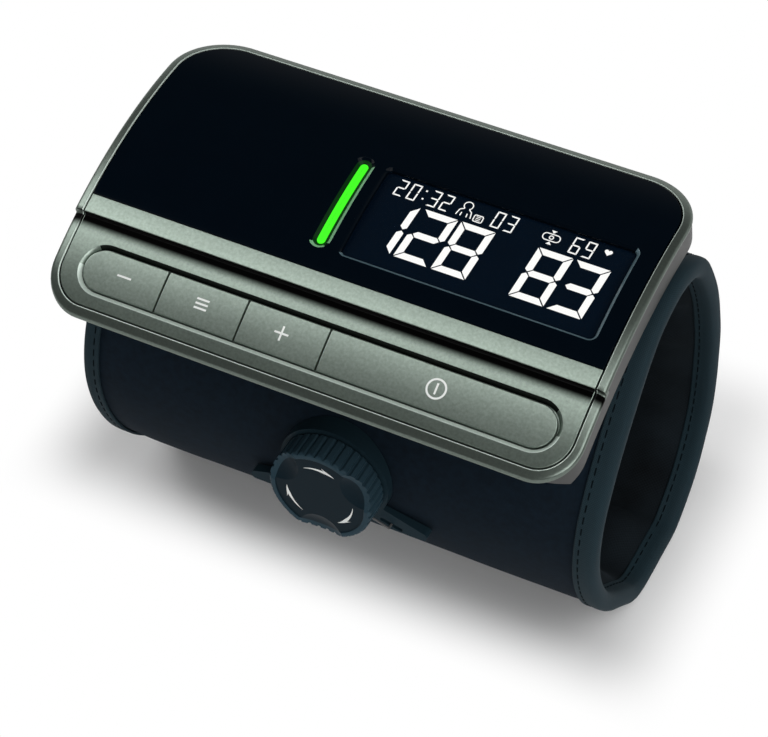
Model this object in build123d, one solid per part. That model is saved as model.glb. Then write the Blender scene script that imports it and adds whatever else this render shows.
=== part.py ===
"""Arm-in blood pressure monitor: a curved housing on a ready-formed arm cuff.

The housing is modelled in its own frame, whose origin is the middle of the display face,
with Y towards the back and Z out of the face. The face is a cylinder about an axis along X,
so a place on it is given by X, by the arc length s from the middle and by the depth below it.
HOUSING places that frame on the cuff, which stands on the foot of its wall. The dial has a
frame of its own on the front of the cuff, with Z out of the knob. All sizes are millimetres.
"""
import os
from math import acos, atan2, cos, degrees, hypot, radians, sin, sqrt

from build123d import *

# ---- driving dimensions: housing -------------------------------------------------------
FACE_RADIUS = 122.7        # the face bends about the long axis
FACE_ARC = 99.2            # front to back, along the face
HOUSING_LENGTH = 155.0
SLAB_DEPTH = 9.6           # side wall, below the face
REAR_CORNER = 17.0
FRONT_CORNER = 12.0
RIM_WIDTH = 2.6            # metallic rim round the panels
RIM_FALL = 0.5             # slope of the rim towards its outer edge
RIM_EDGE = 1.5             # thickness of the rim
HAIRLINE = 0.4             # gap between rim and panels
STEP_AT = -22.7            # arc place of the step between the two decks
STEP_DROP = 1.5            # lower deck below the upper one
COVE = 1.1                 # fillet at the foot of the step
BAND_WIDTH = 5.4           # metal band between display panel and step
SEAM = 0.15                # joint between display panel and metal band
PANEL = 1.6                # thickness of the display panel and of the deck panel
SEAT_GAP = 0.1             # bonding film under the panels
LEDGE_WIDTH = 3.0          # ledge of the bezel frame, under the panels
LEDGE_DEPTH = 4.4          # underside of the ledge
LEDGE_NECK = 0.4           # joins the ledge to the rim
PARTING = 0.3              # visible line between bezel frame and lower shell
WALL_INSET = 0.25          # the side wall stands this much inside the rim
WALL = 1.8                 # lower shell
FRONT_LEAN = 0.36          # the front wall draws back by this much arc for each depth
FIT = 0.15                 # clearance between mouldings

# ---- driving dimensions: display -------------------------------------------------------
WINDOW_LENGTH = 72.0
WINDOW_HEIGHT = 29.7
WINDOW_SIDE = 8.8          # window to the housing's right end
WINDOW_S = 4.7
WINDOW_CORNER = 1.6
WINDOW_BEVEL = 0.8
PANE = 0.7
PANE_MARGIN = 0.8          # pane beyond the window, all round
LIGHT_SIDE = 6.7           # status light to the window's left edge
LIGHT_S = 5.0
LIGHT_LENGTH = 28.0
LIGHT_WIDTH = 2.3
LIGHT_BEVEL = 1.3
LIGHT_RECESS = 0.3
LENS = 1.1
LCD_MARGIN = 1.5           # LCD glass beyond the window, all round
LCD_TOP = 2.9              # flat glass, clear of the curved panel
HOLDER_DROP = 0.3          # LCD frame below the glass
LCD_GLASS = 1.5
BACKLIGHT = 1.8
HOLDER_WALL = 1.2
BOARD_TOP = 6.5
BOARD = 1.0
BOARD_MARGIN = 4.0         # pod beyond the board, at both ends
BOARD_WIDTH = 40.0
BOARD_SHIFT = 2.0          # board's middle behind the window's middle
GUIDE_WIDTH = 2.0
GUIDE_LENGTH = 26.0
LED_SIZE = 2.0
LED_HEIGHT = 0.8
LED_PITCH = 9.0

# ---- driving dimensions: keys ----------------------------------------------------------
KEYS_S = -36.4
KEYS_X = 0.35
KEYS_MARGIN = 8.7          # housing beyond the key row, at both ends
KEYS_HEIGHT = 11.8
KEY_PLACES = (23.65, 47.75, 71.85)      # splits between the keys, from the row's left end
KEY_NAMES = ("minus_key", "memory_key", "plus_key", "start_stop_key")
KEY_GAP = 0.35
KEY_RECESS = 0.15          # key tops below the lower deck
KEY_FLANGE = 0.9
KEY_FLANGE_THICKNESS = 0.5
KEY_EDGE = 0.3
KEY_TRAVEL = 0.7
GROOVE_BEVEL = 1.0         # bevel of the deck panel, round the keys
SWITCH_SIZE = 6.0
SWITCH_CLEAR = 0.1         # left under a key at the end of its travel
KEY_BOARD_TOP = 6.1
KEY_BOARD_WIDTH = 9.0
KEY_BOARD_MARGIN = 4.8     # key row beyond its board, at both ends
PAD_INSET = 8.0            # outer pads from the board's ends
PAD_RADIUS = 2.0

# ---- driving dimensions: cuff ----------------------------------------------------------
CUFF_LENGTH = 158.0
CUFF_FOOT = 18.0           # flat stretch that the cuff stands on
CUFF_BENDS = (             # radius and turn of the wall's middle, from the foot's rear end up
    (8.6, 34.0), (44.8, 53.6), (109.8, 37.7), (27.9, 101.1), (129.4, 16.6), (40.1, 40.6), (66.0, 36.0))
CLOTH = 0.9
STIFFENER = 0.6
BLADDER = 1.2
LINING = 0.9
LAYER_GAP = 0.3
TAPE = 0.4                 # binding tape folded over both ends
TAPE_WIDTH = 6.6
STIFFENER_MARGIN = 8.0     # stiffener stops short of the cuff's ends
BLADDER_MARGIN = 14.0
FOOT_GAP = 15.0            # stiffener and bladder stop at both sides of the foot
HOUSING_TILT = 14.3        # degrees, towards the front
FACE_HEIGHT = 128.0        # middle of the face above the foot
FACE_FORWARD = 33.3        # middle of the face in front of the foot
HOUSING_SIDE = -1.0        # housing to the left of the cuff's middle

# ---- driving dimensions: pod under the housing, with its seat on the cuff --------------
POD_SIDE = 19.5            # housing beyond the pod, at both ends
POD_WIDTH = 69.0
POD_FRONT = -27.0          # front side of the pod
POD_DEPTH = 22.0
POD_CORNER = 8.0
POD_DRAFT = 7.0            # degrees
PLATE = 1.0
PLATE_LENGTH = 96.0
PLATE_WIDTH = 36.0
PLATE_Y = 15.0
PLATE_SCREW_X = 42.0
PLATE_SCREW_Y = (2.0, 28.0)
PLATE_SCREW_RADIUS = 0.9
PLATE_SCREW_HEAD_RADIUS = 1.9
PLATE_SCREW_HEAD = 0.9
PLATE_PAD_RADIUS = 2.6
PLATE_PAD_TOP = 12.4       # below the middle of the face
SCREW_INSET = 7.7          # from the housing's ends
SCREW_S = (-25.6, 38.5)
SCREW_RADIUS = 1.0
SCREW_HEAD_RADIUS = 2.0
SCREW_HEAD = 1.6
SCREW_TIP = 4.1
BOSS_RADIUS = 2.9
BOSS_JOINT = 5.8
HEAD_CLEAR = 0.2

# ---- driving dimensions: pneumatics and electronics ------------------------------------
PUMP_RADIUS = 5.4
PUMP_CLEAR = 6.0           # pump to the port of the bladder
PUMP_CAP = 8.0             # diaphragm head, wider than the motor
PUMP_CAP_STEP = 0.7
NIPPLE_RADIUS = 1.3
NIPPLE_LENGTH = 3.0
PUMP_MARGIN = 5.0          # pod beyond the pump
ROW_Y = -16.8              # pump, valve and battery lie in one row
ROW_Z = -14.2
VALVE_RADIUS = 4.0
VALVE_LENGTH = 10.0
VALVE_X = 8.5              # right end
BATTERY_X = 12.0           # left end
BATTERY_MARGIN = 6.0       # pod beyond the battery
BATTERY_WIDTH = 10.5
BATTERY_HEIGHT = 9.2
CRADLE = 0.3               # clearance round what lies in a cradle
CRADLE_WALL = 1.2
CRADLE_LENGTH = 4.0
PORT_X = -11.0
PORT_Y = 4.0
PORT_RADIUS = 2.0
PORT_BORE = 1.1
PORT_TOP = 11.3            # below the middle of the face
HOSE_RADIUS = 1.6
SENSOR_X = -32.0
SENSOR_SIZE = 7.0
SENSOR_HEIGHT = 2.4
RADIO_INSET = 18.0         # from the board's left end
RADIO_LENGTH = 16.0
RADIO_WIDTH = 12.0
RADIO_HEIGHT = 2.0
BUZZER_INSET = 11.5        # from the housing's left end
BUZZER_S = 0.0
BUZZER_RADIUS = 5.5
BUZZER_HEIGHT = 2.5
SOCKET_S = 18.0
SOCKET_WIDTH = 8.9
SOCKET_HEIGHT = 3.1
SOCKET_LENGTH = 7.3
SOCKET_SHELL = 0.35
SOCKET_MOUTH = 1.0         # mouth of the socket cut back from its rear end
TONGUE = 0.7

# ---- driving dimensions: dial ----------------------------------------------------------
DIAL_HEIGHT = 58.8         # above the foot
DIAL_SIDE = 2.1
DIAL_RADIUS = 15.5
DIAL_TOP = 12.0            # face of the knob above the cloth
DIAL_BOTTOM = 3.5
KNOB_WALL = 1.4
KNOB_INSIDE = 7.0
KNOB_EDGE = 0.9
FACE_RECESS = 0.4
FACE_RECESS_RADIUS = 13.6
GRIP_COUNT = 36
GRIP_RADIUS = 0.55
SCOOP_COUNT = 3
SCOOP_START = 30.0         # degrees
SCOOP_RADIUS = 6.5
SCOOP_REACH = 8.4          # inner end of a scoop, from the dial's axis
SCOOP_DEPTH = 1.7
PULL = 2.5                 # the knob is pulled out to let the lace go
BASE_RADIUS = 16.6
BASE_TOP = 3.0
BASE_FLOOR = 1.1
EAR_REACH = 26.0
EAR_DROP = 14.4
EAR_TIP_DROP = 15.0
EAR_ROOT = 9.0
EAR_ROOT_RADIUS = 4.2
EAR_TIP_RADIUS = 1.5
EAR_TOP = 1.0
SLOT_MIDDLE = (16.6, -14.6)
SLOT_LENGTH = 7.2
SLOT_WIDTH = 1.3
SLOT_ANGLE = -15.0
HUB_RADIUS = 13.4
HUB_TOP = 6.4
TOOTH_COUNT = 24
TOOTH_ROOT = 11.9
TOOTH_TIP = 10.8
TOOTH_BOTTOM = 3.9
TOOTH_SLOPE = 0.8          # share of the pitch that a tooth's slope takes
PAWL_COUNT = 3
PAWL_BODY = 6.6
PAWL_TOP = 6.1
PAWL_THICKNESS = 2.0
PAWL_ARM = 1.2
PAWL_LEAN = 38.0           # degrees, arms trail against the teeth
DRIVE_RADIUS = 4.2         # hexagon under the pawl disc, across its corners
SPOOL_RADIUS = 9.6
SPOOL_CORE = 5.6
SPOOL_BOTTOM = 1.4
SPOOL_TOP = 3.6
SPOOL_FLANGE = 0.5
CHAMBER = 10.1
LACE_RADIUS = 0.3
LACE_WOUND = 8.4           # outside of the turns on the spool
HEAD_ROOM = 0.6            # round the post's head, in the knob
EYELET_RADIUS = 1.1
EYELET_BORE = 0.6
CHANNEL_WIDTH = 1.2
POST_RADIUS = 1.6
POST_TOP = 10.4
POST_HEAD_RADIUS = 2.7
POST_HEAD = 0.6
BUSH_RADIUS = 2.8
BUSH_BOTTOM = 4.1
BUSH_TOP = 7.2
RUNNING = 0.05             # radial clearance of a shaft in its bore
LOOSE = 0.3                # clearance between pieces that pass each other

# ---- derived values --------------------------------------------------------------------
REACH = 200.0              # longer than any piece
FRONT = -FACE_ARC / 2
REAR = FACE_ARC / 2
WINDOW_X = HOUSING_LENGTH / 2 - WINDOW_SIDE - WINDOW_LENGTH / 2
LIGHT_X = WINDOW_X - WINDOW_LENGTH / 2 - LIGHT_SIDE
KEYS_LENGTH = HOUSING_LENGTH - 2 * KEYS_MARGIN
KEYS_LEFT = KEYS_X - KEYS_LENGTH / 2
KEY_ENDS = (KEYS_LEFT, *(KEYS_LEFT + place for place in KEY_PLACES), KEYS_X + KEYS_LENGTH / 2)
KEY_BOARD_LENGTH = KEYS_LENGTH - 2 * KEY_BOARD_MARGIN
SCREW_X = HOUSING_LENGTH / 2 - SCREW_INSET
BUZZER_X = BUZZER_INSET - HOUSING_LENGTH / 2
POD_LENGTH = HOUSING_LENGTH - 2 * POD_SIDE
POD_Y = POD_FRONT + POD_WIDTH / 2
BOARD_LENGTH = POD_LENGTH - 2 * BOARD_MARGIN
RADIO_X = RADIO_INSET - BOARD_LENGTH / 2
PUMP_X = PUMP_MARGIN - POD_LENGTH / 2
PUMP_LENGTH = PORT_X - PUMP_CLEAR - PUMP_X
BATTERY_LENGTH = POD_LENGTH / 2 - BATTERY_MARGIN - BATTERY_X
BAND_BACK = STEP_AT + BAND_WIDTH
PANEL_INSET = RIM_WIDTH + HAIRLINE
FLOOR_DEPTH = SLAB_DEPTH - WALL
SHELL_INSIDE = WALL_INSET + WALL
LEDGE_INSET = SHELL_INSIDE + FIT
LEDGE_TOP = PANEL + SEAT_GAP
SHELL_TOP = RIM_EDGE + PARTING
RISER_BACK = STEP_AT + PANEL
KEY_BOTTOM = STEP_DROP + PANEL + LOOSE + KEY_FLANGE_THICKNESS
SWITCH_TOP = KEY_BOTTOM + KEY_TRAVEL + SWITCH_CLEAR
CUFF_WALL = CLOTH + STIFFENER + BLADDER + LINING + 3 * LAYER_GAP
OUTSIDE = CUFF_WALL / 2
CLOTH_IN = OUTSIDE - CLOTH
STIFFENER_OUT = CLOTH_IN - LAYER_GAP
BLADDER_OUT = STIFFENER_OUT - STIFFENER - LAYER_GAP
LINING_OUT = BLADDER_OUT - BLADDER - LAYER_GAP
TAPE_IN = OUTSIDE + LAYER_GAP
TAPE_OUT = TAPE_IN + TAPE
CLOTH_LENGTH = CUFF_LENGTH - 2 * (TAPE + LAYER_GAP)
PLATE_IN = OUTSIDE + LAYER_GAP
POD_SEAT = PLATE_IN + PLATE + SEAT_GAP
LEAN_START = RIM_EDGE + STEP_DROP


# ---- housing geometry ------------------------------------------------------------------
def on_arc(depth, s):
    """Return (Y, Z) of the place at arc length s and a depth below the face."""
    radius = FACE_RADIUS - depth
    angle = s / FACE_RADIUS
    return radius * sin(angle), radius * cos(angle) - FACE_RADIUS


def at_face(x, s):
    """Return the frame on the face at x and s, with Z out of the face."""
    y, z = on_arc(0, s)
    return Pos(x, y, z) * Rot(-degrees(s / FACE_RADIUS), 0, 0)


def lean(depth):
    """Return how far the front wall has drawn back at a depth, along the arc."""
    return FRONT_LEAN * max(0.0, depth - LEAN_START)


def strip(top, bottom, front, rear, toe=0.0):
    """Return the section between two depths and two arc places, its front foot moved back."""
    outer = ThreePointArc(on_arc(top, front), on_arc(top, (front + rear) / 2), on_arc(top, rear))
    foot = front + toe
    inner = ThreePointArc(on_arc(bottom, rear), on_arc(bottom, (foot + rear) / 2), on_arc(bottom, foot))
    return make_face(outer + inner + Line(outer @ 1, inner @ 0) + Line(inner @ 1, outer @ 0))


def stepped(top, bottom, foot, inset=0.0, step=STEP_AT):
    """Return the section under both decks: to bottom below the upper, to foot below the lower."""
    section = strip(top, bottom, step, REAR - inset)
    levels = [top + STEP_DROP, foot]
    if levels[0] < LEAN_START < foot:
        levels.insert(1, LEAN_START)
    for high, low in zip(levels, levels[1:]):
        section += strip(high, low, FRONT + inset + lean(high), step, lean(low) - lean(high))
    return section


def along_x(section, length=REACH, x=0.0):
    """Return a Y-Z section drawn out along X, with its middle at x."""
    return Pos(x, 0, 0) * extrude(Plane.YZ * section, length / 2, both=True)


def plan(inset):
    """Return the housing's outline, looking at the face, moved inwards by inset."""
    front = on_arc(0, FRONT)[0] + inset
    rear = on_arc(0, REAR)[0] - inset
    outline = Pos(0, (front + rear) / 2) * Rectangle(HOUSING_LENGTH - 2 * inset, rear - front)
    outline = fillet(outline.vertices().group_by(Axis.Y)[0], FRONT_CORNER - inset)
    return fillet(outline.vertices().group_by(Axis.Y)[-1], REAR_CORNER - inset)


def column(outline):
    """Return an outline in X and Y drawn out through the whole part along Z."""
    return extrude(outline, REACH / 2, both=True)


def slab(top, bottom, foot, inset, step=STEP_AT):
    """Return the housing's form between two depths, inside an outline moved in by inset."""
    return along_x(stepped(top, bottom, foot, inset, step)) & column(plan(inset))


def ring(top, bottom, foot, inset, inner_inset, step=STEP_AT):
    """Return a frame that follows the housing's outline, between two insets."""
    core = slab(-PANEL, SLAB_DEPTH, SLAB_DEPTH, inner_inset)
    return slab(top, bottom, foot, inset, step) - core


def block(length, width, top, bottom):
    """Return a flat box between two depths below a frame on the face."""
    return Pos(0, 0, -(top + bottom) / 2) * Box(length, width, bottom - top)


def rod(radius, top, bottom):
    """Return a round rod between two depths below a frame on the face."""
    return Pos(0, 0, -(top + bottom) / 2) * Cylinder(radius, bottom - top)


def depth_of(point):
    """Return the depth of a point below the face."""
    return FACE_RADIUS - hypot(point.Y, point.Z + FACE_RADIUS)


def arc_of(point):
    """Return the arc place of a point."""
    return atan2(point.Y, point.Z + FACE_RADIUS) * FACE_RADIUS


# ---- cuff geometry ---------------------------------------------------------------------
def closing_bends(start, heading):
    """Return the two bends that lead from the last given bend to the front end of the foot."""
    goal = Vector(-CUFF_FOOT / 2, 0)
    along = Vector(cos(heading), sin(heading))
    ahead = Vector(1, 0)
    gap = goal - start
    spread = 2 * (1 - along.dot(ahead))
    run = gap.dot(along + ahead)
    reach = (sqrt(run ** 2 + spread * gap.dot(gap)) - run) / spread
    first = (start + along * reach + goal - ahead * reach) / 2 - start
    last = gap - first
    rise = first.dot(Vector(-along.Y, along.X))
    turn = 2 * atan2(rise, first.dot(along))
    bends = [(first.dot(first) / (2 * rise), degrees(turn))]
    return bends + [(-last.dot(last) / (2 * last.Y), 360 - degrees(heading + turn))]


def cuff_arcs(bends, start, heading, offset):
    """Return the tangent arcs of a list of bends, moved outwards by offset."""
    arcs = []
    for radius, turn in bends:
        arcs.append(JernArc(start, (cos(heading), sin(heading)), radius + offset, turn))
        start = arcs[-1] @ 1
        heading += radians(turn)
    return arcs


def cuff_section(offset):
    """Return the section inside the cuff line moved outwards by offset."""
    given = cuff_arcs(CUFF_BENDS, Vector(CUFF_FOOT / 2, 0), 0.0, 0.0)
    heading = radians(sum(turn for radius, turn in CUFF_BENDS))
    bends = [*CUFF_BENDS, *closing_bends(given[-1] @ 1, heading)]
    arcs = cuff_arcs(bends, Vector(CUFF_FOOT / 2, -offset), 0.0, offset)
    return make_face(arcs + [Line(arcs[-1] @ 1, arcs[0] @ 0)])


def cuff_block(offset, length=REACH, x=0.0):
    """Return the solid inside the cuff line moved outwards by offset."""
    return along_x(cuff_section(offset), length, x)


def cuff_layer(outer, inner, length, x=0.0):
    """Return one closed layer of the cuff wall."""
    return cuff_block(outer, length, x) - cuff_block(inner, REACH)


def foot_block():
    """Return the space over the foot, where stiffener and bladder are left open."""
    return Box(REACH, 2 * FOOT_GAP, 2 * FOOT_GAP)


HOUSING = Pos(HOUSING_SIDE, -FACE_FORWARD, FACE_HEIGHT) * Rot(HOUSING_TILT, 0, 0)
CUFF_FRONT = -cuff_section(OUTSIDE).bounding_box().min.X
DIAL = Pos(DIAL_SIDE, -CUFF_FRONT, DIAL_HEIGHT) * Rot(90, 0, 0)


def cuff_tool(offset):
    """Return the solid inside the cuff line, in the housing's frame."""
    return HOUSING.inverse() * cuff_block(offset)


def dial_cuff_tool(offset):
    """Return the solid inside the cuff line, in the dial's frame."""
    return DIAL.inverse() * cuff_block(offset)


# ---- housing shell ---------------------------------------------------------------------
def screw_places():
    """Return X and arc place of each housing screw."""
    return [(side * SCREW_X, s) for s in SCREW_S for side in (-1, 1)]


def is_rim_edge(edge):
    """Tell whether an edge is part of the rim's outer top edge."""
    middle = edge @ 0.5
    drop = STEP_DROP if arc_of(middle) < STEP_AT else 0.0
    on_top = abs(depth_of(middle) - drop) < FIT
    return on_top and abs(arc_of(middle) - STEP_AT) > FIT


def bezel_frame():
    """Return the rim with its ledge inside the shell and its four screw bosses."""
    rim = slab(0, RIM_EDGE, RIM_EDGE + STEP_DROP, 0)
    rim += along_x(strip(0, RIM_EDGE + STEP_DROP, STEP_AT, RISER_BACK)) & column(plan(0))
    rim = chamfer([edge for edge in rim.edges() if is_rim_edge(edge)], RIM_FALL)
    frame = rim - slab(-PANEL, SLAB_DEPTH, SLAB_DEPTH, RIM_WIDTH)
    low = LEDGE_DEPTH
    frame += ring(LEDGE_TOP, low, low, LEDGE_INSET, LEDGE_INSET + LEDGE_WIDTH, RISER_BACK + SEAT_GAP)
    frame += ring(RIM_FALL, low, low, RIM_WIDTH - LEDGE_NECK, RIM_WIDTH)
    for x, s in screw_places():
        drop = STEP_DROP if s < STEP_AT else 0.0
        frame += at_face(x, s) * rod(BOSS_RADIUS, LEDGE_TOP + drop + SEAT_GAP, BOSS_JOINT)
        frame -= at_face(x, s) * rod(SCREW_RADIUS + RUNNING, SCREW_TIP - SEAT_GAP, BOSS_JOINT + PANEL)
    return frame


def pod_form(inset):
    """Return the pod's drafted form, moved inwards by inset."""
    outline = RectangleRounded(POD_LENGTH - 2 * inset, POD_WIDTH - 2 * inset, POD_CORNER - inset)
    return Pos(0, POD_Y, 0) * Rot(180, 0, 0) * extrude(outline, 2 * POD_DEPTH, taper=POD_DRAFT)


def plate_screw_frames():
    """Return the frames of the screws between pod and mount plate."""
    return [Pos(side * PLATE_SCREW_X, y, 0) for side in (-1, 1) for y in PLATE_SCREW_Y]


def cradle(x):
    """Return one cradle that holds a round or square piece of the row, over the pod's floor."""
    reach = PUMP_RADIUS + PUMP_CAP_STEP + CRADLE + CRADLE_WALL
    return Pos(x, ROW_Y, ROW_Z - reach / 2) * Box(CRADLE_LENGTH, 2 * reach, reach)


def row_clearance():
    """Return the space kept free for pump, valve and battery."""
    motor = lying(PUMP_RADIUS + CRADLE, PUMP_LENGTH, PUMP_X)
    head = lying(PUMP_RADIUS + PUMP_CAP_STEP + CRADLE, PUMP_CAP, PUMP_X + PUMP_LENGTH - PUMP_CAP)
    valve = lying(VALVE_RADIUS + CRADLE, VALVE_LENGTH, VALVE_X - VALVE_LENGTH)
    size = (BATTERY_LENGTH + 2 * CRADLE, BATTERY_WIDTH + 2 * CRADLE, BATTERY_HEIGHT + 2 * CRADLE)
    return motor + head + valve + Pos(BATTERY_X + BATTERY_LENGTH / 2, ROW_Y, ROW_Z) * Box(*size)


def lower_shell():
    """Return the shell: side walls, floor and the pod that sits on the cuff."""
    step = RISER_BACK + PARTING
    shell = slab(SHELL_TOP, SLAB_DEPTH, SLAB_DEPTH, WALL_INSET, step)
    wide = along_x(strip(FLOOR_DEPTH, POD_DEPTH, FRONT, REAR))
    shell += (wide & pod_form(0)) - cuff_tool(POD_SEAT)
    shell -= slab(0, FLOOR_DEPTH, FLOOR_DEPTH, SHELL_INSIDE, step)
    hollow = along_x(strip(LEDGE_DEPTH, POD_DEPTH - WALL, FRONT, REAR)) & pod_form(WALL)
    shell -= hollow - cuff_tool(POD_SEAT + WALL)
    inside = along_x(strip(FLOOR_DEPTH, POD_DEPTH - WALL / 2, FRONT, REAR)) & pod_form(WALL / 2)
    inside -= cuff_tool(POD_SEAT + WALL / 2)
    board = at_face(0, WINDOW_S) * Pos(0, BOARD_SHIFT, 0)
    shelf = board * block(POD_LENGTH, BOARD_WIDTH / 2, BOARD_TOP + BOARD, POD_DEPTH)
    shelf -= board * block(BOARD_LENGTH - 2 * WALL, BOARD_WIDTH, 0, 2 * POD_DEPTH)
    shell += shelf & inside
    holders = [cradle(PUMP_X + PUMP_LENGTH / 3), cradle(VALVE_X - VALVE_LENGTH / 2)]
    holders += [cradle(BATTERY_X + BATTERY_LENGTH * quarter / 4) for quarter in (1, 3)]
    for holder in holders:
        shell += (holder & inside) - row_clearance()
    for place in plate_screw_frames():
        pad = place * rod(PLATE_PAD_RADIUS, PLATE_PAD_TOP, POD_DEPTH)
        shell += pad & inside
        shell -= place * rod(PLATE_SCREW_RADIUS + RUNNING, 0, 2 * POD_DEPTH)
        shell -= place * rod(PLATE_SCREW_HEAD_RADIUS + HEAD_CLEAR, 0, PLATE_PAD_TOP)
    for place in [at_face(x, s) for x, s in screw_places()]:
        shell += place * rod(BOSS_RADIUS, BOSS_JOINT, SLAB_DEPTH - SEAT_GAP)
        shell -= place * rod(SCREW_RADIUS + RUNNING, 0, 2 * SLAB_DEPTH)
        shell -= place * rod(SCREW_HEAD_RADIUS + HEAD_CLEAR, SLAB_DEPTH - SCREW_HEAD, 2 * SLAB_DEPTH)
    pad_reach = KEY_BOARD_LENGTH / 2 - PAD_INSET
    for share in (-1, -1 / 3, 1 / 3, 1):
        pad = rod(PAD_RADIUS, KEY_BOARD_TOP + BOARD, FLOOR_DEPTH + SEAT_GAP)
        shell += at_face(share * pad_reach, KEYS_S) * pad
    shell -= Pos(PORT_X, PORT_Y, 0) * rod(PORT_RADIUS + FIT, 0, 2 * POD_DEPTH)
    return shell - Pos(-HOUSING_LENGTH / 2, 0, 0) * socket_outline(FIT)


# ---- panels and display ----------------------------------------------------------------
def window_outline(grow):
    """Return the window's outline, grown outwards."""
    size = (WINDOW_LENGTH + 2 * grow, WINDOW_HEIGHT + 2 * grow)
    return RectangleRounded(*size, WINDOW_CORNER + max(grow, 0))


def light_outline(grow):
    """Return the outline of the status light, grown outwards."""
    return Rot(0, 0, 90) * SlotOverall(LIGHT_LENGTH + 2 * grow, LIGHT_WIDTH + 2 * grow)


def face_edges(solid, depth, place, reach):
    """Return the edges at a depth that lie round a place on the face."""
    found = []
    for edge in solid.edges():
        middle = edge @ 0.5
        local = (place.inverse() * Pos(middle)).position
        near = abs(local.X) < reach[0] and abs(local.Y) < reach[1]
        if near and abs(depth_of(middle) - depth) < FIT / 2:
            found.append(edge)
    return found


def display_panel():
    """Return the glossy panel with the bevelled window and the slot of the status light."""
    section = strip(0, PANEL, BAND_BACK + SEAM, REAR - PANEL_INSET)
    panel = along_x(section) & column(plan(PANEL_INSET))
    window = at_face(WINDOW_X, WINDOW_S)
    light = at_face(LIGHT_X, LIGHT_S)
    panel -= window * column(window_outline(0))
    panel -= light * column(light_outline(0))
    window_reach = (WINDOW_LENGTH / 2 + WINDOW_BEVEL, WINDOW_HEIGHT / 2 + WINDOW_BEVEL)
    light_reach = (LIGHT_WIDTH / 2 + LIGHT_BEVEL, LIGHT_LENGTH / 2 + LIGHT_BEVEL)
    panel = chamfer(face_edges(panel, 0, window, window_reach), WINDOW_BEVEL)
    panel = chamfer(face_edges(panel, 0, light, light_reach), LIGHT_BEVEL)
    pocket = along_x(strip(PANEL - PANE, PANEL + FIT, FRONT, REAR))
    return panel - (pocket & (window * column(window_outline(PANE_MARGIN))))


def display_window():
    """Return the clear pane, let into the panel from below."""
    pane = along_x(strip(PANEL - PANE + SEAT_GAP, PANEL, FRONT, REAR))
    outline = window_outline(PANE_MARGIN - FIT)
    return pane & (at_face(WINDOW_X, WINDOW_S) * column(outline))


def status_light():
    """Return the lens of the status light."""
    lens = along_x(strip(LIGHT_RECESS + LIGHT_BEVEL / 2, LIGHT_RECESS + LENS, FRONT, REAR))
    return lens & (at_face(LIGHT_X, LIGHT_S) * column(light_outline(-SEAT_GAP)))


def deck_panel():
    """Return the metal band, the step and the lower deck with the keys' opening."""
    section = strip(0, PANEL, STEP_AT, BAND_BACK)
    section += strip(0, PANEL + STEP_DROP, STEP_AT, RISER_BACK)
    section += strip(STEP_DROP, PANEL + STEP_DROP, FRONT + PANEL_INSET, STEP_AT)
    foot = Vector(*on_arc(STEP_DROP, STEP_AT))
    corner = min(section.vertices(), key=lambda vertex: (Vector(vertex) - foot).length)
    panel = along_x(fillet(corner, COVE)) & column(plan(PANEL_INSET))
    keys = at_face(KEYS_X, KEYS_S)
    panel -= keys * column(key_outline(KEY_GAP))
    reach = (KEYS_LENGTH / 2 + GROOVE_BEVEL, KEYS_HEIGHT / 2 + GROOVE_BEVEL)
    return chamfer(face_edges(panel, STEP_DROP, keys, reach), GROOVE_BEVEL)


def lcd_module():
    """Return the flat LCD glass."""
    size = (WINDOW_LENGTH + 2 * LCD_MARGIN, WINDOW_HEIGHT + 2 * LCD_MARGIN)
    return at_face(WINDOW_X, WINDOW_S) * block(*size, LCD_TOP, LCD_TOP + LCD_GLASS)


def backlight():
    """Return the light plate behind the LCD glass."""
    size = (WINDOW_LENGTH + 2 * LCD_MARGIN, WINDOW_HEIGHT + 2 * LCD_MARGIN)
    top = LCD_TOP + LCD_GLASS
    return at_face(WINDOW_X, WINDOW_S) * block(*size, top, top + BACKLIGHT)


def lcd_frame():
    """Return the frame that holds LCD glass and backlight on the main board."""
    inner = (WINDOW_LENGTH + 2 * LCD_MARGIN + 2 * FIT, WINDOW_HEIGHT + 2 * LCD_MARGIN + 2 * FIT)
    outer = (inner[0] + 2 * HOLDER_WALL, inner[1] + 2 * HOLDER_WALL)
    frame = block(*outer, LCD_TOP + HOLDER_DROP, BOARD_TOP)
    frame -= block(*inner, 0, LCD_TOP + LCD_GLASS + BACKLIGHT)
    return at_face(WINDOW_X, WINDOW_S) * frame


def main_board():
    """Return the main circuit board."""
    board = block(BOARD_LENGTH, BOARD_WIDTH, BOARD_TOP, BOARD_TOP + BOARD)
    return at_face(0, WINDOW_S) * Pos(0, BOARD_SHIFT, 0) * board


def status_leds():
    """Return the light-emitting diodes under the light guide."""
    place = at_face(LIGHT_X, WINDOW_S)
    lamp = block(LED_SIZE, LED_SIZE, BOARD_TOP - LED_HEIGHT, BOARD_TOP)
    return Compound([place * Pos(0, row * LED_PITCH, 0) * lamp for row in (-1, 0, 1)])


def light_guide():
    """Return the bar that leads the light up to the lens."""
    bar = block(GUIDE_WIDTH, GUIDE_LENGTH, 0, BOARD_TOP - LED_HEIGHT - SEAT_GAP)
    return (at_face(LIGHT_X, WINDOW_S) * bar) & along_x(strip(PANEL, SLAB_DEPTH, FRONT, REAR))


# ---- keys ------------------------------------------------------------------------------
def key_outline(grow, left=-REACH, right=REACH):
    """Return the key row's outline in its own frame, grown, between two places along X."""
    row = SlotOverall(KEYS_LENGTH + 2 * grow, KEYS_HEIGHT + 2 * grow)
    return row & (Pos((left + right) / 2 - KEYS_X, 0) * Rectangle(right - left, REACH))


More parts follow.
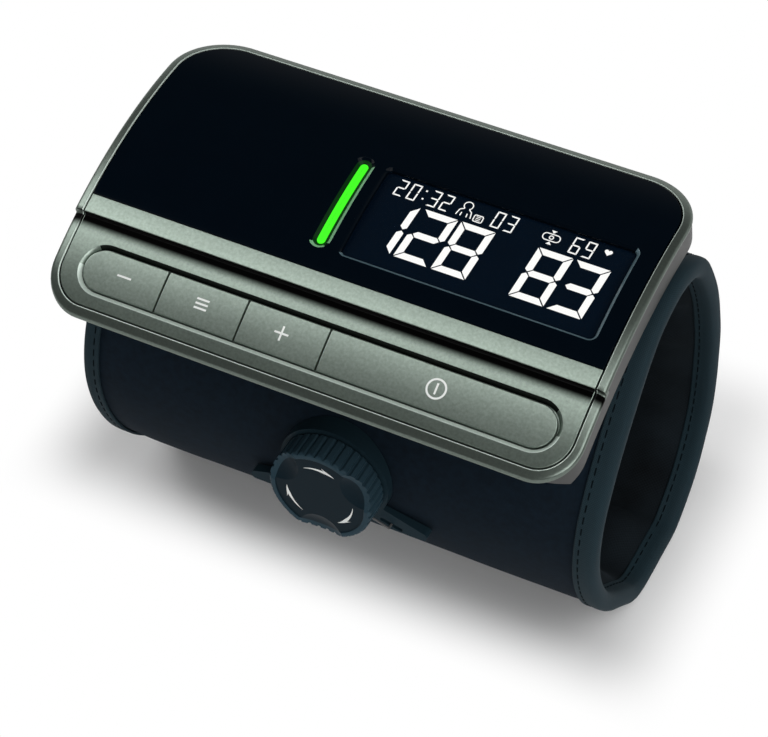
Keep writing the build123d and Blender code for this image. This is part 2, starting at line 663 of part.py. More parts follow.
def key(index):
    """Return one key: its cap and the flange that keeps it under the deck panel."""
    last = len(KEY_NAMES) - 1
    left = KEY_ENDS[index] + KEY_GAP / 2 if index else -REACH
    right = KEY_ENDS[index + 1] - KEY_GAP / 2 if index < last else REACH
    place = at_face(KEYS_X, KEYS_S)
    top = STEP_DROP + KEY_RECESS
    cap = along_x(strip(top, KEY_BOTTOM, FRONT, STEP_AT))
    cap &= place * column(key_outline(0, left, right))
    cap = chamfer([edge for edge in cap.edges() if abs(depth_of(edge @ 0.5) - top) < SEAT_GAP], KEY_EDGE)
    flange = along_x(strip(KEY_BOTTOM - KEY_FLANGE_THICKNESS, KEY_BOTTOM, FRONT, STEP_AT))
    return cap + (flange & (place * column(key_outline(KEY_FLANGE, left, right))))


def key_middle(index):
    """Return the X of the middle of a key."""
    return (KEY_ENDS[index] + KEY_ENDS[index + 1]) / 2


def key_board():
    """Return the narrow circuit board under the keys."""
    board = block(KEY_BOARD_LENGTH, KEY_BOARD_WIDTH, KEY_BOARD_TOP, KEY_BOARD_TOP + BOARD)
    return at_face(0, KEYS_S) * board


def key_switches():
    """Return the four push switches on the key board."""
    switches = []
    for index in range(len(KEY_NAMES)):
        body = block(SWITCH_SIZE, SWITCH_SIZE, SWITCH_TOP, KEY_BOARD_TOP)
        switches.append(at_face(key_middle(index), KEYS_S) * body)
    return Compound(switches)


# ---- inside the pod --------------------------------------------------------------------
def lying(radius, length, x):
    """Return a round piece of the row, from x to the right."""
    return Pos(x + length / 2, ROW_Y, ROW_Z) * Rot(0, 90, 0) * Cylinder(radius, length)


def air_pump():
    """Return the pump: motor, diaphragm head and outlet."""
    head = lying(PUMP_RADIUS + PUMP_CAP_STEP, PUMP_CAP, PUMP_X + PUMP_LENGTH - PUMP_CAP)
    outlet = lying(NIPPLE_RADIUS, NIPPLE_LENGTH, PUMP_X + PUMP_LENGTH)
    return lying(PUMP_RADIUS, PUMP_LENGTH - PUMP_CAP, PUMP_X) + head + outlet


def release_valve():
    """Return the valve that lets the air out, with its inlet."""
    body = lying(VALVE_RADIUS, VALVE_LENGTH, VALVE_X - VALVE_LENGTH)
    return body + lying(NIPPLE_RADIUS, NIPPLE_LENGTH, VALVE_X - VALVE_LENGTH - NIPPLE_LENGTH)


def air_hose():
    """Return the hose from the bladder's port to the pump and the valve."""
    left = PUMP_X + PUMP_LENGTH + NIPPLE_LENGTH
    right = VALVE_X - VALVE_LENGTH - NIPPLE_LENGTH
    rise = HOSE_RADIUS - PORT_TOP
    over_row = Pos(PORT_X, ROW_Y, rise)
    over_port = Pos(PORT_X, PORT_Y, rise)
    upright = Pos(0, 0, (ROW_Z - rise) / 2) * Cylinder(HOSE_RADIUS, rise - ROW_Z)
    bridge = Pos(0, (PORT_Y - ROW_Y) / 2, 0) * Rot(90, 0, 0) * Cylinder(HOSE_RADIUS, PORT_Y - ROW_Y)
    elbow = Sphere(HOSE_RADIUS) + Pos(0, 0, -HOSE_RADIUS / 2) * Cylinder(HOSE_RADIUS, HOSE_RADIUS)
    hose = lying(HOSE_RADIUS, right - left, left) + over_row * (upright + Sphere(HOSE_RADIUS) + bridge)
    return hose + over_port * elbow


def battery_pack():
    """Return the rechargeable battery."""
    pack = Box(BATTERY_LENGTH, BATTERY_WIDTH, BATTERY_HEIGHT)
    pack = fillet(pack.edges().filter_by(Axis.X), CRADLE_WALL)
    return Pos(BATTERY_X + BATTERY_LENGTH / 2, ROW_Y, ROW_Z) * pack


def pressure_sensor():
    """Return the pressure sensor under the main board."""
    top = BOARD_TOP + BOARD
    return at_face(SENSOR_X, WINDOW_S) * block(SENSOR_SIZE, SENSOR_SIZE, top, top + SENSOR_HEIGHT)


def radio_module():
    """Return the radio module on the main board."""
    module = block(RADIO_LENGTH, RADIO_WIDTH, BOARD_TOP - RADIO_HEIGHT, BOARD_TOP)
    return at_face(RADIO_X, WINDOW_S) * module


def buzzer():
    """Return the buzzer on the shell's floor."""
    bottom = FLOOR_DEPTH - SEAT_GAP
    return at_face(BUZZER_X, BUZZER_S) * rod(BUZZER_RADIUS, bottom - BUZZER_HEIGHT, bottom)


def socket_outline(grow):
    """Return the charge socket's form at the middle of the housing's length, grown outwards."""
    size = (SOCKET_WIDTH + 2 * grow, SOCKET_HEIGHT + 2 * grow)
    form = extrude(Plane.YZ * SlotOverall(*size), SOCKET_LENGTH, both=True)
    depth = FLOOR_DEPTH - SEAT_GAP - SOCKET_HEIGHT / 2
    return at_face(0, SOCKET_S) * Pos(0, 0, -depth) * form


def charge_socket():
    """Return the socket in the left wall, with its contact tongue."""
    left = WALL_INSET - HOUSING_LENGTH / 2 + SEAT_GAP
    room = Pos(left + SOCKET_LENGTH / 2, 0, 0) * Box(SOCKET_LENGTH, REACH, REACH)
    body = (Pos(left, 0, 0) * socket_outline(0)) & room
    mouth = (Pos(-SOCKET_MOUTH, 0, 0) * body) & (Pos(left, 0, 0) * socket_outline(-SOCKET_SHELL))
    depth = FLOOR_DEPTH - SEAT_GAP - SOCKET_HEIGHT / 2
    tongue = at_face(left + SOCKET_LENGTH / 2, SOCKET_S) * Pos(0, 0, -depth)
    tongue *= Box(SOCKET_LENGTH - 2 * TONGUE, SOCKET_WIDTH - SOCKET_HEIGHT, TONGUE)
    return body - mouth + tongue


def housing_screws():
    """Return the four screws that hold shell and bezel frame together."""
    screw = rod(SCREW_HEAD_RADIUS, SLAB_DEPTH - SCREW_HEAD, SLAB_DEPTH)
    screw += rod(SCREW_RADIUS, SCREW_TIP, SLAB_DEPTH - SCREW_HEAD)
    return Compound([at_face(x, s) * screw for x, s in screw_places()])


def cuff_mount_plate():
    """Return the plate on the cuff that carries the housing."""
    outside = cuff_tool(PLATE_IN + PLATE) - cuff_tool(PLATE_IN)
    plate = outside & (Pos(0, PLATE_Y, -POD_DEPTH) * Box(PLATE_LENGTH, PLATE_WIDTH, 2 * POD_DEPTH))
    for place in plate_screw_frames():
        plate -= place * rod(PLATE_SCREW_RADIUS + RUNNING, 0, 2 * POD_DEPTH)
    return plate - Pos(PORT_X, PORT_Y, 0) * rod(PORT_RADIUS + FIT, 0, 2 * POD_DEPTH)


def plate_screws():
    """Return the screws between pod and mount plate."""
    screws = []
    for place in plate_screw_frames():
        head = rod(PLATE_SCREW_HEAD_RADIUS, PLATE_PAD_TOP - PLATE_SCREW_HEAD, PLATE_PAD_TOP)
        shank = rod(PLATE_SCREW_RADIUS, PLATE_PAD_TOP, 2 * POD_DEPTH)
        screws.append(place * (head + shank) - cuff_tool(PLATE_IN))
    return Compound(screws)


# ---- cuff ------------------------------------------------------------------------------
def port_rod(radius):
    """Return a rod through the cuff wall under the housing, where the air goes in."""
    return HOUSING * Pos(PORT_X, PORT_Y, 0) * rod(radius, PORT_TOP, 2 * POD_DEPTH)


def lace_rods(radius):
    """Return the two rods through the cloth where the lace goes in."""
    x, y = SLOT_MIDDLE
    hole = rod(radius, -(SPOOL_BOTTOM + SPOOL_TOP) / 2, DIAL_TOP)
    return DIAL * (Pos(x, y, 0) * hole + Pos(-x, y, 0) * hole)


def cuff_outer_cloth():
    """Return the outer cloth, with the holes for air port and lace."""
    cloth = cuff_layer(OUTSIDE, CLOTH_IN, CLOTH_LENGTH)
    return cloth - port_rod(PORT_RADIUS + LOOSE) - lace_rods(EYELET_RADIUS + SEAT_GAP)


def cuff_stiffener():
    """Return the springy sheet that keeps the cuff open."""
    sheet = cuff_layer(STIFFENER_OUT, STIFFENER_OUT - STIFFENER, CUFF_LENGTH - 2 * STIFFENER_MARGIN)
    return sheet - foot_block() - port_rod(PORT_RADIUS + LOOSE)


def air_bladder():
    """Return the bladder with its port."""
    body = cuff_layer(BLADDER_OUT, BLADDER_OUT - BLADDER, CUFF_LENGTH - 2 * BLADDER_MARGIN)
    port = port_rod(PORT_RADIUS) - cuff_block(BLADDER_OUT - BLADDER / 2)
    bore = port_rod(PORT_BORE) - cuff_block(BLADDER_OUT - BLADDER / 2)
    return body - foot_block() + port - bore


def cuff_lining():
    """Return the lining that the arm touches."""
    return cuff_layer(LINING_OUT, LINING_OUT - LINING, CLOTH_LENGTH)


def binding(side):
    """Return the tape folded over one end of the cuff."""
    x = side * (CUFF_LENGTH - TAPE_WIDTH) / 2
    tape = cuff_layer(TAPE_OUT, -TAPE_OUT, TAPE_WIDTH, x)
    pocket = cuff_layer(TAPE_IN, -TAPE_IN, TAPE_WIDTH, x - side * TAPE)
    return tape - pocket


# ---- dial ------------------------------------------------------------------------------
def disc(radius, bottom, top):
    """Return a disc between two heights over the cloth, in the dial's frame."""
    return Pos(0, 0, (bottom + top) / 2) * Cylinder(radius, top - bottom)


def ear(side):
    """Return the outline of one ear of the dial base."""
    root = Pos(side * EAR_ROOT, -EAR_DROP + EAR_ROOT_RADIUS / 2) * Circle(EAR_ROOT_RADIUS)
    tip = Pos(side * EAR_REACH, -EAR_TIP_DROP) * Circle(EAR_TIP_RADIUS)
    return make_hull(root.edges() + tip.edges())


def lace_slot(side):
    """Return the outline of the slot in one ear."""
    x, y = SLOT_MIDDLE
    return Pos(side * x, y) * Rot(0, 0, side * SLOT_ANGLE) * SlotOverall(SLOT_LENGTH, SLOT_WIDTH)


def lace_run(side, width):
    """Return the lace's straight way from the spool to the slot, as a bar of a given width."""
    x, y = SLOT_MIDDLE
    wound = LACE_WOUND - LACE_RADIUS
    turn = atan2(y, x) - acos(wound / hypot(x, y))
    start = (side * wound * cos(turn), wound * sin(turn))
    length = hypot(x - side * start[0], y - start[1])
    heading = degrees(atan2(y - start[1], side * x - start[0]))
    middle = ((side * x + start[0]) / 2, (y + start[1]) / 2, (SPOOL_BOTTOM + SPOOL_TOP) / 2)
    return Pos(*middle) * Rot(0, 0, heading) * Rot(0, 90, 0) * Cylinder(width / 2, length)


def dial_base():
    """Return the base: two ears, the spool's chamber and the ring of ratchet teeth."""
    base = disc(BASE_RADIUS, -DIAL_TOP, BASE_TOP) + disc(HUB_RADIUS, 0, HUB_TOP)
    for side in (-1, 1):
        base += extrude(ear(side), EAR_TOP) + extrude(ear(side), -DIAL_TOP)
    base -= dial_cuff_tool(OUTSIDE + LOOSE)
    base -= disc(CHAMBER, BASE_FLOOR, HUB_TOP) + disc(TOOTH_ROOT, TOOTH_BOTTOM, DIAL_TOP)
    pitch = 360 / TOOTH_COUNT
    steep = Vector(TOOTH_TIP, 0)
    foot = Vector(TOOTH_ROOT + FIT, 0)
    slope = Vector(TOOTH_ROOT + FIT, 0).rotate(Axis.Z, pitch * TOOTH_SLOPE)
    tooth = extrude(make_face(Polyline(steep, foot, slope, close=True)), HUB_TOP - TOOTH_BOTTOM)
    for index in range(TOOTH_COUNT):
        base += Rot(0, 0, index * pitch) * Pos(0, 0, TOOTH_BOTTOM) * tooth
    for side in (-1, 1):
        base -= lace_run(side, CHANNEL_WIDTH)
        base -= extrude(lace_slot(side), DIAL_TOP, both=True)
    return base


def dial_post():
    """Return the post that stands in the base, with its head."""
    return disc(POST_RADIUS, BASE_FLOOR, POST_TOP) + disc(POST_HEAD_RADIUS, POST_TOP - POST_HEAD, POST_TOP)


def dial_bush():
    """Return the bush that slides on the post when the knob is pulled."""
    return disc(BUSH_RADIUS, BUSH_BOTTOM, BUSH_TOP) - disc(POST_RADIUS + RUNNING, 0, DIAL_TOP)


def pawl_disc():
    """Return the disc with its pawls and the hexagon that turns the spool."""
    bottom = PAWL_TOP - PAWL_THICKNESS
    body = disc(PAWL_BODY, bottom, PAWL_TOP)
    tip = TOOTH_TIP - LOOSE
    for index in range(PAWL_COUNT):
        arm = Pos(tip / 2, 0, 0) * Box(tip, PAWL_ARM, PAWL_THICKNESS)
        arm = Pos(0, -PAWL_BODY + PAWL_ARM, (bottom + PAWL_TOP) / 2) * arm
        body += Rot(0, 0, index * 360 / PAWL_COUNT + PAWL_LEAN) * (arm & disc(tip, 0, DIAL_TOP))
    drive_bottom = SPOOL_BOTTOM + LOOSE
    body += Pos(0, 0, drive_bottom) * extrude(RegularPolygon(DRIVE_RADIUS, 6), bottom - drive_bottom)
    body -= disc(BUSH_RADIUS + RUNNING, BUSH_BOTTOM - LOOSE, DIAL_TOP)
    return body - disc(POST_RADIUS + LOOSE, 0, DIAL_TOP)


def lace_spool():
    """Return the spool with its groove for the lace."""
    spool = disc(SPOOL_RADIUS, SPOOL_BOTTOM, SPOOL_TOP)
    groove = disc(SPOOL_RADIUS + LOOSE, SPOOL_BOTTOM + SPOOL_FLANGE, SPOOL_TOP - SPOOL_FLANGE)
    spool -= groove - disc(SPOOL_CORE, 0, DIAL_TOP)
    return spool - extrude(RegularPolygon(DRIVE_RADIUS + LOOSE, 6), DIAL_TOP)


def tension_lace():
    """Return the lace: its turns on the spool and its two ends that go into the cuff."""
    middle = (SPOOL_BOTTOM + SPOOL_TOP) / 2
    lace = disc(LACE_WOUND, middle - LACE_RADIUS, middle + LACE_RADIUS)
    lace -= disc(SPOOL_CORE + LOOSE, 0, DIAL_TOP)
    x, y = SLOT_MIDDLE
    for side in (-1, 1):
        lace += lace_run(side, 2 * LACE_RADIUS)
        end = Pos(side * x, y, 0) * rod(LACE_RADIUS, -middle, DIAL_TOP)
        lace += end - dial_cuff_tool(CLOTH_IN - FIT)
        lace += Pos(side * x, y, middle) * Sphere(LACE_RADIUS)
    return lace


def lace_eyelets():
    """Return the two eyelets in the cloth."""
    wall = cuff_block(OUTSIDE + FIT) - cuff_block(CLOTH_IN)
    return (lace_rods(EYELET_RADIUS) - lace_rods(EYELET_BORE)) & wall


def dial_knob():
    """Return the knob: its grips, its three thumb scoops and the hollow inside."""
    knob = disc(DIAL_RADIUS, DIAL_BOTTOM, DIAL_TOP)
    knob = fillet(knob.edges().group_by(Axis.Z)[-1], KNOB_EDGE)
    knob -= disc(FACE_RECESS_RADIUS, DIAL_TOP - FACE_RECESS, 2 * DIAL_TOP)
    for index in range(GRIP_COUNT):
        notch = Pos(DIAL_RADIUS, 0, 0) * Cylinder(GRIP_RADIUS, REACH)
        knob -= Rot(0, 0, (2 * index + 1) * 180 / GRIP_COUNT) * notch
    ball = (SCOOP_RADIUS ** 2 + SCOOP_DEPTH ** 2) / (2 * SCOOP_DEPTH)
    centre = (SCOOP_REACH + SCOOP_RADIUS, 0, DIAL_TOP - FACE_RECESS + ball - SCOOP_DEPTH)
    for index in range(SCOOP_COUNT):
        knob -= Rot(0, 0, SCOOP_START + index * 360 / SCOOP_COUNT) * Pos(*centre) * Sphere(ball)
    hollow = disc(DIAL_RADIUS - KNOB_WALL, 0, KNOB_INSIDE) - disc(PAWL_BODY, PAWL_TOP, KNOB_INSIDE)
    return knob - hollow - disc(POST_HEAD_RADIUS + HEAD_ROOM, 0, POST_TOP + LOOSE)


# ---- assembly --------------------------------------------------------------------------
def housing_pieces():
    """Return the pieces of the housing by name, in the housing's frame."""
    pieces = {
        "bezel_frame": bezel_frame(), "display_panel": display_panel(),
        "display_window": display_window(), "status_light": status_light(),
        "deck_panel": deck_panel(), "lower_shell": lower_shell(), "lcd_module": lcd_module(),
        "backlight": backlight(), "lcd_frame": lcd_frame(), "main_board": main_board(),
        "status_leds": status_leds(), "light_guide": light_guide(), "key_board": key_board(),
        "key_switches": key_switches(), "air_pump": air_pump(), "release_valve": release_valve(),
        "air_hose": air_hose(), "battery_pack": battery_pack(),
        "pressure_sensor": pressure_sensor(), "radio_module": radio_module(), "buzzer": buzzer(),
        "charge_socket": charge_socket(), "housing_screws": housing_screws(),
        "cuff_mount_plate": cuff_mount_plate(), "plate_screws": plate_screws()}
    for index, name in enumerate(KEY_NAMES):
        pieces[name] = key(index)
    return pieces


def dial_pieces():
    """Return the pieces of the dial by name, in the dial's frame."""
    return {
        "dial_base": dial_base(), "dial_post": dial_post(), "dial_bush": dial_bush(),
        "pawl_disc": pawl_disc(), "lace_spool": lace_spool(), "tension_lace": tension_lace(),
        "dial_knob": dial_knob()}


def cuff_pieces():
    """Return the pieces of the cuff by name, in the cuff's frame."""
    return {
        "cuff_outer_cloth": cuff_outer_cloth(), "cuff_stiffener": cuff_stiffener(),
        "air_bladder": air_bladder(), "cuff_lining": cuff_lining(), "left_binding": binding(-1),
        "right_binding": binding(1), "lace_eyelets": lace_eyelets()}


def assemble():
    """Return all pieces by name, with the origin under the middle of the whole monitor."""
    pieces = {name: HOUSING * piece for name, piece in housing_pieces().items()}
    pieces.update({name: DIAL * piece for name, piece in dial_pieces().items()})
    pieces.update(cuff_pieces())
    solids = [solid for piece in pieces.values() for solid in piece.solids()]
    box = Compound(solids).bounding_box()
    centre = box.center()
    shift = Pos(-centre.X, -centre.Y, -box.min.Z)
    return {name: shift * piece for name, piece in pieces.items()}


def export_parts():
    """Write each piece to its own file."""
    os.makedirs("parts", exist_ok=True)
    for name, piece in assemble().items():
        export_step(piece, os.path.join("parts", f"{name}.step"))


if __name__ == "__main__":
    export_parts()
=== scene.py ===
"""Dressed model of an arm-in blood pressure monitor, built over its CAD nodes.

Sizes are millimetres; a Vector that is a place in the scene is in metres, in the row frame.
The housing's face is a cylinder about an axis along X. A place on it is given either by X and
Y of the housing with a depth below the face, or by a Spot: a flat frame that touches the face.
"""

import logging
import math
from dataclasses import asdict, dataclass, field, replace
from enum import Enum, IntEnum
from typing import Callable, Iterable, Sequence, Union

import bmesh
import bpy
from mathutils import Matrix, Vector, noise

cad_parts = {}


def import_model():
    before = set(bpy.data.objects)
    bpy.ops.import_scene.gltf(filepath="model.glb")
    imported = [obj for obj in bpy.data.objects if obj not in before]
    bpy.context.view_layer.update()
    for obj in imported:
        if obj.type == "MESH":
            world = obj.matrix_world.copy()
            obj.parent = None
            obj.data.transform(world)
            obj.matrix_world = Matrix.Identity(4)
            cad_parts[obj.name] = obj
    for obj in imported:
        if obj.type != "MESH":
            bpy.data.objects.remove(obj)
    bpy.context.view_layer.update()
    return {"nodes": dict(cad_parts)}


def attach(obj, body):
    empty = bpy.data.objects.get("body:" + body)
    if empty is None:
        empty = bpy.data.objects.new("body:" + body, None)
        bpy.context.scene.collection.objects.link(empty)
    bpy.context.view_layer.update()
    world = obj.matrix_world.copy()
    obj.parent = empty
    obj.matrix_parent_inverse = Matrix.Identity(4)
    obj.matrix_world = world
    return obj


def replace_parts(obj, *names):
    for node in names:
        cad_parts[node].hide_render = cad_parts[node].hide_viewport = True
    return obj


LOG = logging.getLogger("monitor")
MM = 0.001

Pair = tuple[float, float]
Colour = tuple[float, float, float]
Loop = list[Pair]
Term = Union["Value", float]


# ---- shader maths ----------------------------------------------------------------------
class Value:
    """A number that varies over a surface, with Python's arithmetic."""

    def __init__(self, paint: "Paint", socket: bpy.types.NodeSocket) -> None:
        """Wrap an output socket of a paint's node."""
        self.paint = paint
        self.socket = socket

    def _math(self, operation: str, first: Term, second: Term) -> "Value":
        """Return the result of a Math node on two terms."""
        return self.paint.node("ShaderNodeMath", {"operation": operation}, {0: first, 1: second})

    def __add__(self, other: Term) -> "Value":
        """Return the sum."""
        return self._math("ADD", self, other)

    def __radd__(self, other: Term) -> "Value":
        """Return the sum with a number in front."""
        return self._math("ADD", other, self)

    def __sub__(self, other: Term) -> "Value":
        """Return the difference."""
        return self._math("SUBTRACT", self, other)

    def __rsub__(self, other: Term) -> "Value":
        """Return the difference from a number in front."""
        return self._math("SUBTRACT", other, self)

    def __mul__(self, other: Term) -> "Value":
        """Return the product."""
        return self._math("MULTIPLY", self, other)

    def __rmul__(self, other: Term) -> "Value":
        """Return the product with a number in front."""
        return self._math("MULTIPLY", other, self)

    def wave(self) -> "Value":
        """Return the sine."""
        return self._math("SINE", self, 0.0)

    def size(self) -> "Value":
        """Return the number without its sign."""
        return self._math("ABSOLUTE", self, 0.0)

    def rise(self, low: float, high: float) -> "Value":
        """Return a smooth step from 0 to 1 between two levels.

        Args:
            low: Level where the step starts.
            high: Level where it has reached 1.
        """
        settings = {"interpolation_type": "SMOOTHSTEP"}
        return self.paint.node("ShaderNodeMapRange", settings, {"Value": self, 1: low, 2: high})


class Paint:
    """The nodes of one material or of the world."""

    def __init__(self, owner: bpy.types.Material | bpy.types.World) -> None:
        """Switch the owner's nodes on."""
        owner.use_nodes = True
        self.owner = owner
        self.tree = owner.node_tree

    @classmethod
    def fresh(cls, name: str) -> "Paint":
        """Start a material of a given name."""
        return cls(bpy.data.materials.new(name))

    @property
    def shader(self) -> bpy.types.Node:
        """Return the material's Principled shader."""
        return self.tree.nodes["Principled BSDF"]

    def feed(self, socket: bpy.types.NodeSocket, value: object) -> None:
        """Give a socket a link or a fixed value."""
        if isinstance(value, Value):
            self.tree.links.new(value.socket, socket)
        elif socket.type == "RGBA":
            socket.default_value = (*value, 1.0)
        else:
            socket.default_value = value

    def node(self, kind: str, settings: dict | None = None, inputs: dict | None = None,
             output: int | str = 0) -> Value:
        """Make a node.

        Args:
            kind: Blender's name of the node type.
            settings: Its settings, set first.
            inputs: Values or links of its sockets, by name or index.
            output: The output to return.

        Returns:
            The chosen output as a value.
        """
        made = self.tree.nodes.new(kind)
        for name, value in (settings or {}).items():
            setattr(made, name, value)
        for name, value in (inputs or {}).items():
            self.feed(made.inputs[name], value)
        return Value(self, made.outputs[output])

    def dress(self, sockets: dict) -> None:
        """Set sockets of the Principled shader."""
        for name, value in sockets.items():
            self.feed(self.shader.inputs[name], value)

    def place(self, output: str = "Object") -> Value:
        """Return the shaded place, in the object's own space unless told otherwise."""
        return self.node("ShaderNodeTexCoord", output=output)

    def part(self, place: Value, axis: str) -> Value:
        """Return one coordinate of a place."""
        return self.node("ShaderNodeSeparateXYZ", {}, {0: place}, axis)

    def speckle(self, scale: float, detail: float = 2.0) -> Value:
        """Return noise around 0 over the object's own space.

        Args:
            scale: Features in a metre.
            detail: Octaves of finer noise.
        """
        sockets = {"Vector": self.place(), "Scale": scale, "Detail": detail}
        return self.node("ShaderNodeTexNoise", {}, sockets) - 0.5

    def shade(self, colour: Colour, factor: Term) -> Value:
        """Return a colour made lighter or darker by a factor."""
        return self.node("ShaderNodeVectorMath", {"operation": "SCALE"}, {0: colour, "Scale": factor})

    def mix(self, first: object, second: object, factor: Term) -> Value:
        """Return a colour between two colours."""
        return self.node("ShaderNodeMix", {"data_type": "RGBA"}, {0: factor, 6: first, 7: second}, 2)

    def bump(self, height: Value, depth: float) -> Value:
        """Return a normal for a height whose range of 1 stands for a depth in millimetres."""
        sockets = {"Height": height, "Distance": depth * MM, "Strength": 1.0}
        return self.node("ShaderNodeBump", {}, sockets)


# ---- finishes --------------------------------------------------------------------------
BROADER = 40.0
SMEARS = 60.0
CLOUDS = 45.0
SHEEN_TINT = (0.55, 0.75, 0.9)
# Softness of the painted shadow's edge at the step
PAINTED_SHADOW_BLUR = 0.1 * MM


@dataclass(frozen=True)
class Finish:
    """A rigid material: moulded plastic, painted or bare metal, rubber or board."""

    name: str
    colour: Colour
    roughness: float
    metallic: float = 0.0
    specular: float = 0.5
    grain: float = 2500.0
    contrast: float = 0.12
    depth: float = 0.01
    smudge: float = 0.06

    def material(self) -> bpy.types.Material:
        """Return the material, made once for its name."""
        known = bpy.data.materials.get(self.name)
        return known or self.make()

    def tone(self, paint: Paint, fine: Value, broad: Value) -> Value:
        """Return how much lighter or darker the colour is from place to place."""
        return 1 + fine * self.contrast + broad * min(0.1, self.contrast / 2)

    def make(self) -> bpy.types.Material:
        """Build the nodes."""
        paint = Paint.fresh(self.name)
        fine = paint.speckle(self.grain)
        broad = paint.speckle(self.grain / BROADER, 4.0)
        paint.dress({
            "Base Color": paint.shade(self.colour, self.tone(paint, fine, broad)),
            "Roughness": self.roughness + broad * self.smudge,
            "Metallic": self.metallic, "Specular IOR Level": self.specular,
            "Normal": paint.bump(fine, self.depth)})
        return paint.owner


@dataclass(frozen=True)
class PaintedStepShadow(Finish):
    """A finish with a painted shadow: it darkens along Y at the foot of a step, as shade that the step
    casts.

    The fields are Y of the scene at the step, at the painted shadow's dark foot and where the finish is
    clear.
    """

    edge: float = 0.0
    dark: float = 0.0
    clear: float = 0.0

    def tone(self, paint: Paint, fine: Value, broad: Value) -> Value:
        """Return how much lighter or darker the colour is from place to place."""
        # Painted shadow: dark just ahead of the step's edge, fading out towards the front
        ahead = paint.part(paint.place(), "Y") * -1.0
        under = ahead.rise(-self.edge - PAINTED_SHADOW_BLUR, -self.edge + PAINTED_SHADOW_BLUR)
        painted_shadow = under * (1 - ahead.rise(-self.dark, -self.clear))
        return super().tone(paint, fine, broad) * (1 - painted_shadow)


@dataclass(frozen=True)
class Woven(Finish):
    """A cloth with warp and weft, laid out over the piece's own unrolled coordinates."""

    pitch: float = 0.45
    rib: float = 0.08
    sheen: float = 0.3
    fuzz: float = 0.25
    slub: float = 900.0
    patches: float = 0.35

    def make(self) -> bpy.types.Material:
        """Build the nodes."""
        paint = Paint.fresh(self.name)
        flat = paint.node("ShaderNodeUVMap", {"uv_map": "unrolled"})
        turns = 2 * math.pi / (self.pitch * MM)
        weave = (paint.part(flat, "X") * turns).wave() * (paint.part(flat, "Y") * turns).wave()
        slub = paint.speckle(self.slub, 3.0)
        cloud = paint.speckle(CLOUDS, 3.0)
        tone = 1 + weave * self.contrast + slub * self.fuzz + cloud * self.patches
        paint.dress({
            "Base Color": paint.shade(self.colour, tone), "Roughness": self.roughness + cloud * 0.1,
            "Sheen Weight": self.sheen, "Sheen Roughness": 0.45, "Sheen Tint": SHEEN_TINT,
            "Specular IOR Level": self.specular, "Normal": paint.bump(weave * 0.5 + slub, self.rib)})
        return paint.owner


@dataclass(frozen=True)
class Glow(Finish):
    """A surface that gives light of its own colour."""

    strength: float = 1.0

    def make(self) -> bpy.types.Material:
        """Build the nodes."""
        paint = Paint.fresh(self.name)
        cloud = paint.speckle(self.grain, 1.0)
        paint.dress({
            "Base Color": paint.shade(self.colour, 0.1 + cloud * 0.05),
            "Emission Color": paint.shade(self.colour, 1 + cloud * self.contrast),
            "Emission Strength": self.strength, "Roughness": self.roughness,
            "Specular IOR Level": self.specular})
        return paint.owner


@dataclass(frozen=True)
class Film(Finish):
    """A thin clear pane: it only reflects, and lets through what is behind it."""

    opacity: float = 0.05

    def make(self) -> bpy.types.Material:
        """Build the nodes."""
        paint = Paint.fresh(self.name)
        broad = paint.speckle(SMEARS)
        paint.dress({
            "Base Color": paint.shade(self.colour, 1 + broad * 0.1),
            "Alpha": self.opacity + broad * 0.02,
            "Roughness": self.roughness + broad * self.smudge, "Specular IOR Level": self.specular})
        return paint.owner


@dataclass(frozen=True)
class Clear(Finish):
    """A clear moulding."""

    def make(self) -> bpy.types.Material:
        """Build the nodes."""
        paint = Paint.fresh(self.name)
        broad = paint.speckle(SMEARS)
        paint.dress({
            "Base Color": paint.shade(self.colour, 1 + broad * 0.02), "Transmission Weight": 1.0,
            "Roughness": 0.01 + (broad + 0.5) * self.smudge, "IOR": 1.47,
            "Specular IOR Level": self.specular})
        return paint.owner


DECK_METAL = Finish("deck_satin", (0.235, 0.286, 0.248), 0.30, 0.92, specular=0.1, contrast=0.6,
                    grain=1300.0)
KEY_METAL = replace(DECK_METAL, name="key_satin", colour=(0.235, 0.284, 0.248), roughness=0.31)
# The lower deck's metal is painted darker than the band's, as painted shade
LOWER_METAL_SHADED = replace(DECK_METAL, name="lower_satin_painted_shade", colour=(0.205, 0.250, 0.217))
RIM_METAL = replace(DECK_METAL, name="rim_satin", colour=(0.163, 0.196, 0.172), metallic=0.9,
                    contrast=0.4, depth=0.008)
# A lighter copy of the metal as a painted highlight, on the rim's inner edge and on the front bevel of the
# keys' groove
HIGHLIGHT_METAL = replace(DECK_METAL, name="metal_painted_highlight", colour=(0.560, 0.650, 0.590), roughness=0.35,
                     metallic=0.35, specular=0.2, contrast=0.3, depth=0.006)
# A darker copy of the metal as painted shade, on the rear bevel of the keys' groove
GROOVE_SHADE_METAL = Finish("metal_painted_shade", (0.016, 0.020, 0.017), 0.4, 0.9, specular=0.1, contrast=0.3)
# Black for dark gaps (the rim's hairline and the keys' slot), and as painted shade on the step's riser and
# cove under the band
GAP_AND_PAINTED_SHADE = Finish("gap_black_and_painted_shade", (0.001, 0.001, 0.001), 0.7, specular=0.1)
PANEL_BLACK = Finish("panel_gloss", (0.0008, 0.0028, 0.0056), 0.07, specular=0.05, grain=120.0,
                     contrast=0.2, depth=0.0, smudge=0.03)
# Lighter bevels as painted highlights, only on the right and front sides of the window and of the status
# light's slot
WINDOW_BEVEL_HIGHLIGHT = Finish("window_bevel_painted_highlight", (0.080, 0.135, 0.160), 0.30, grain=300.0, contrast=0.1, depth=0.0)
LIGHT_BEVEL_HIGHLIGHT = replace(WINDOW_BEVEL_HIGHLIGHT, name="light_bevel_painted_highlight", colour=(0.190, 0.430, 0.230))
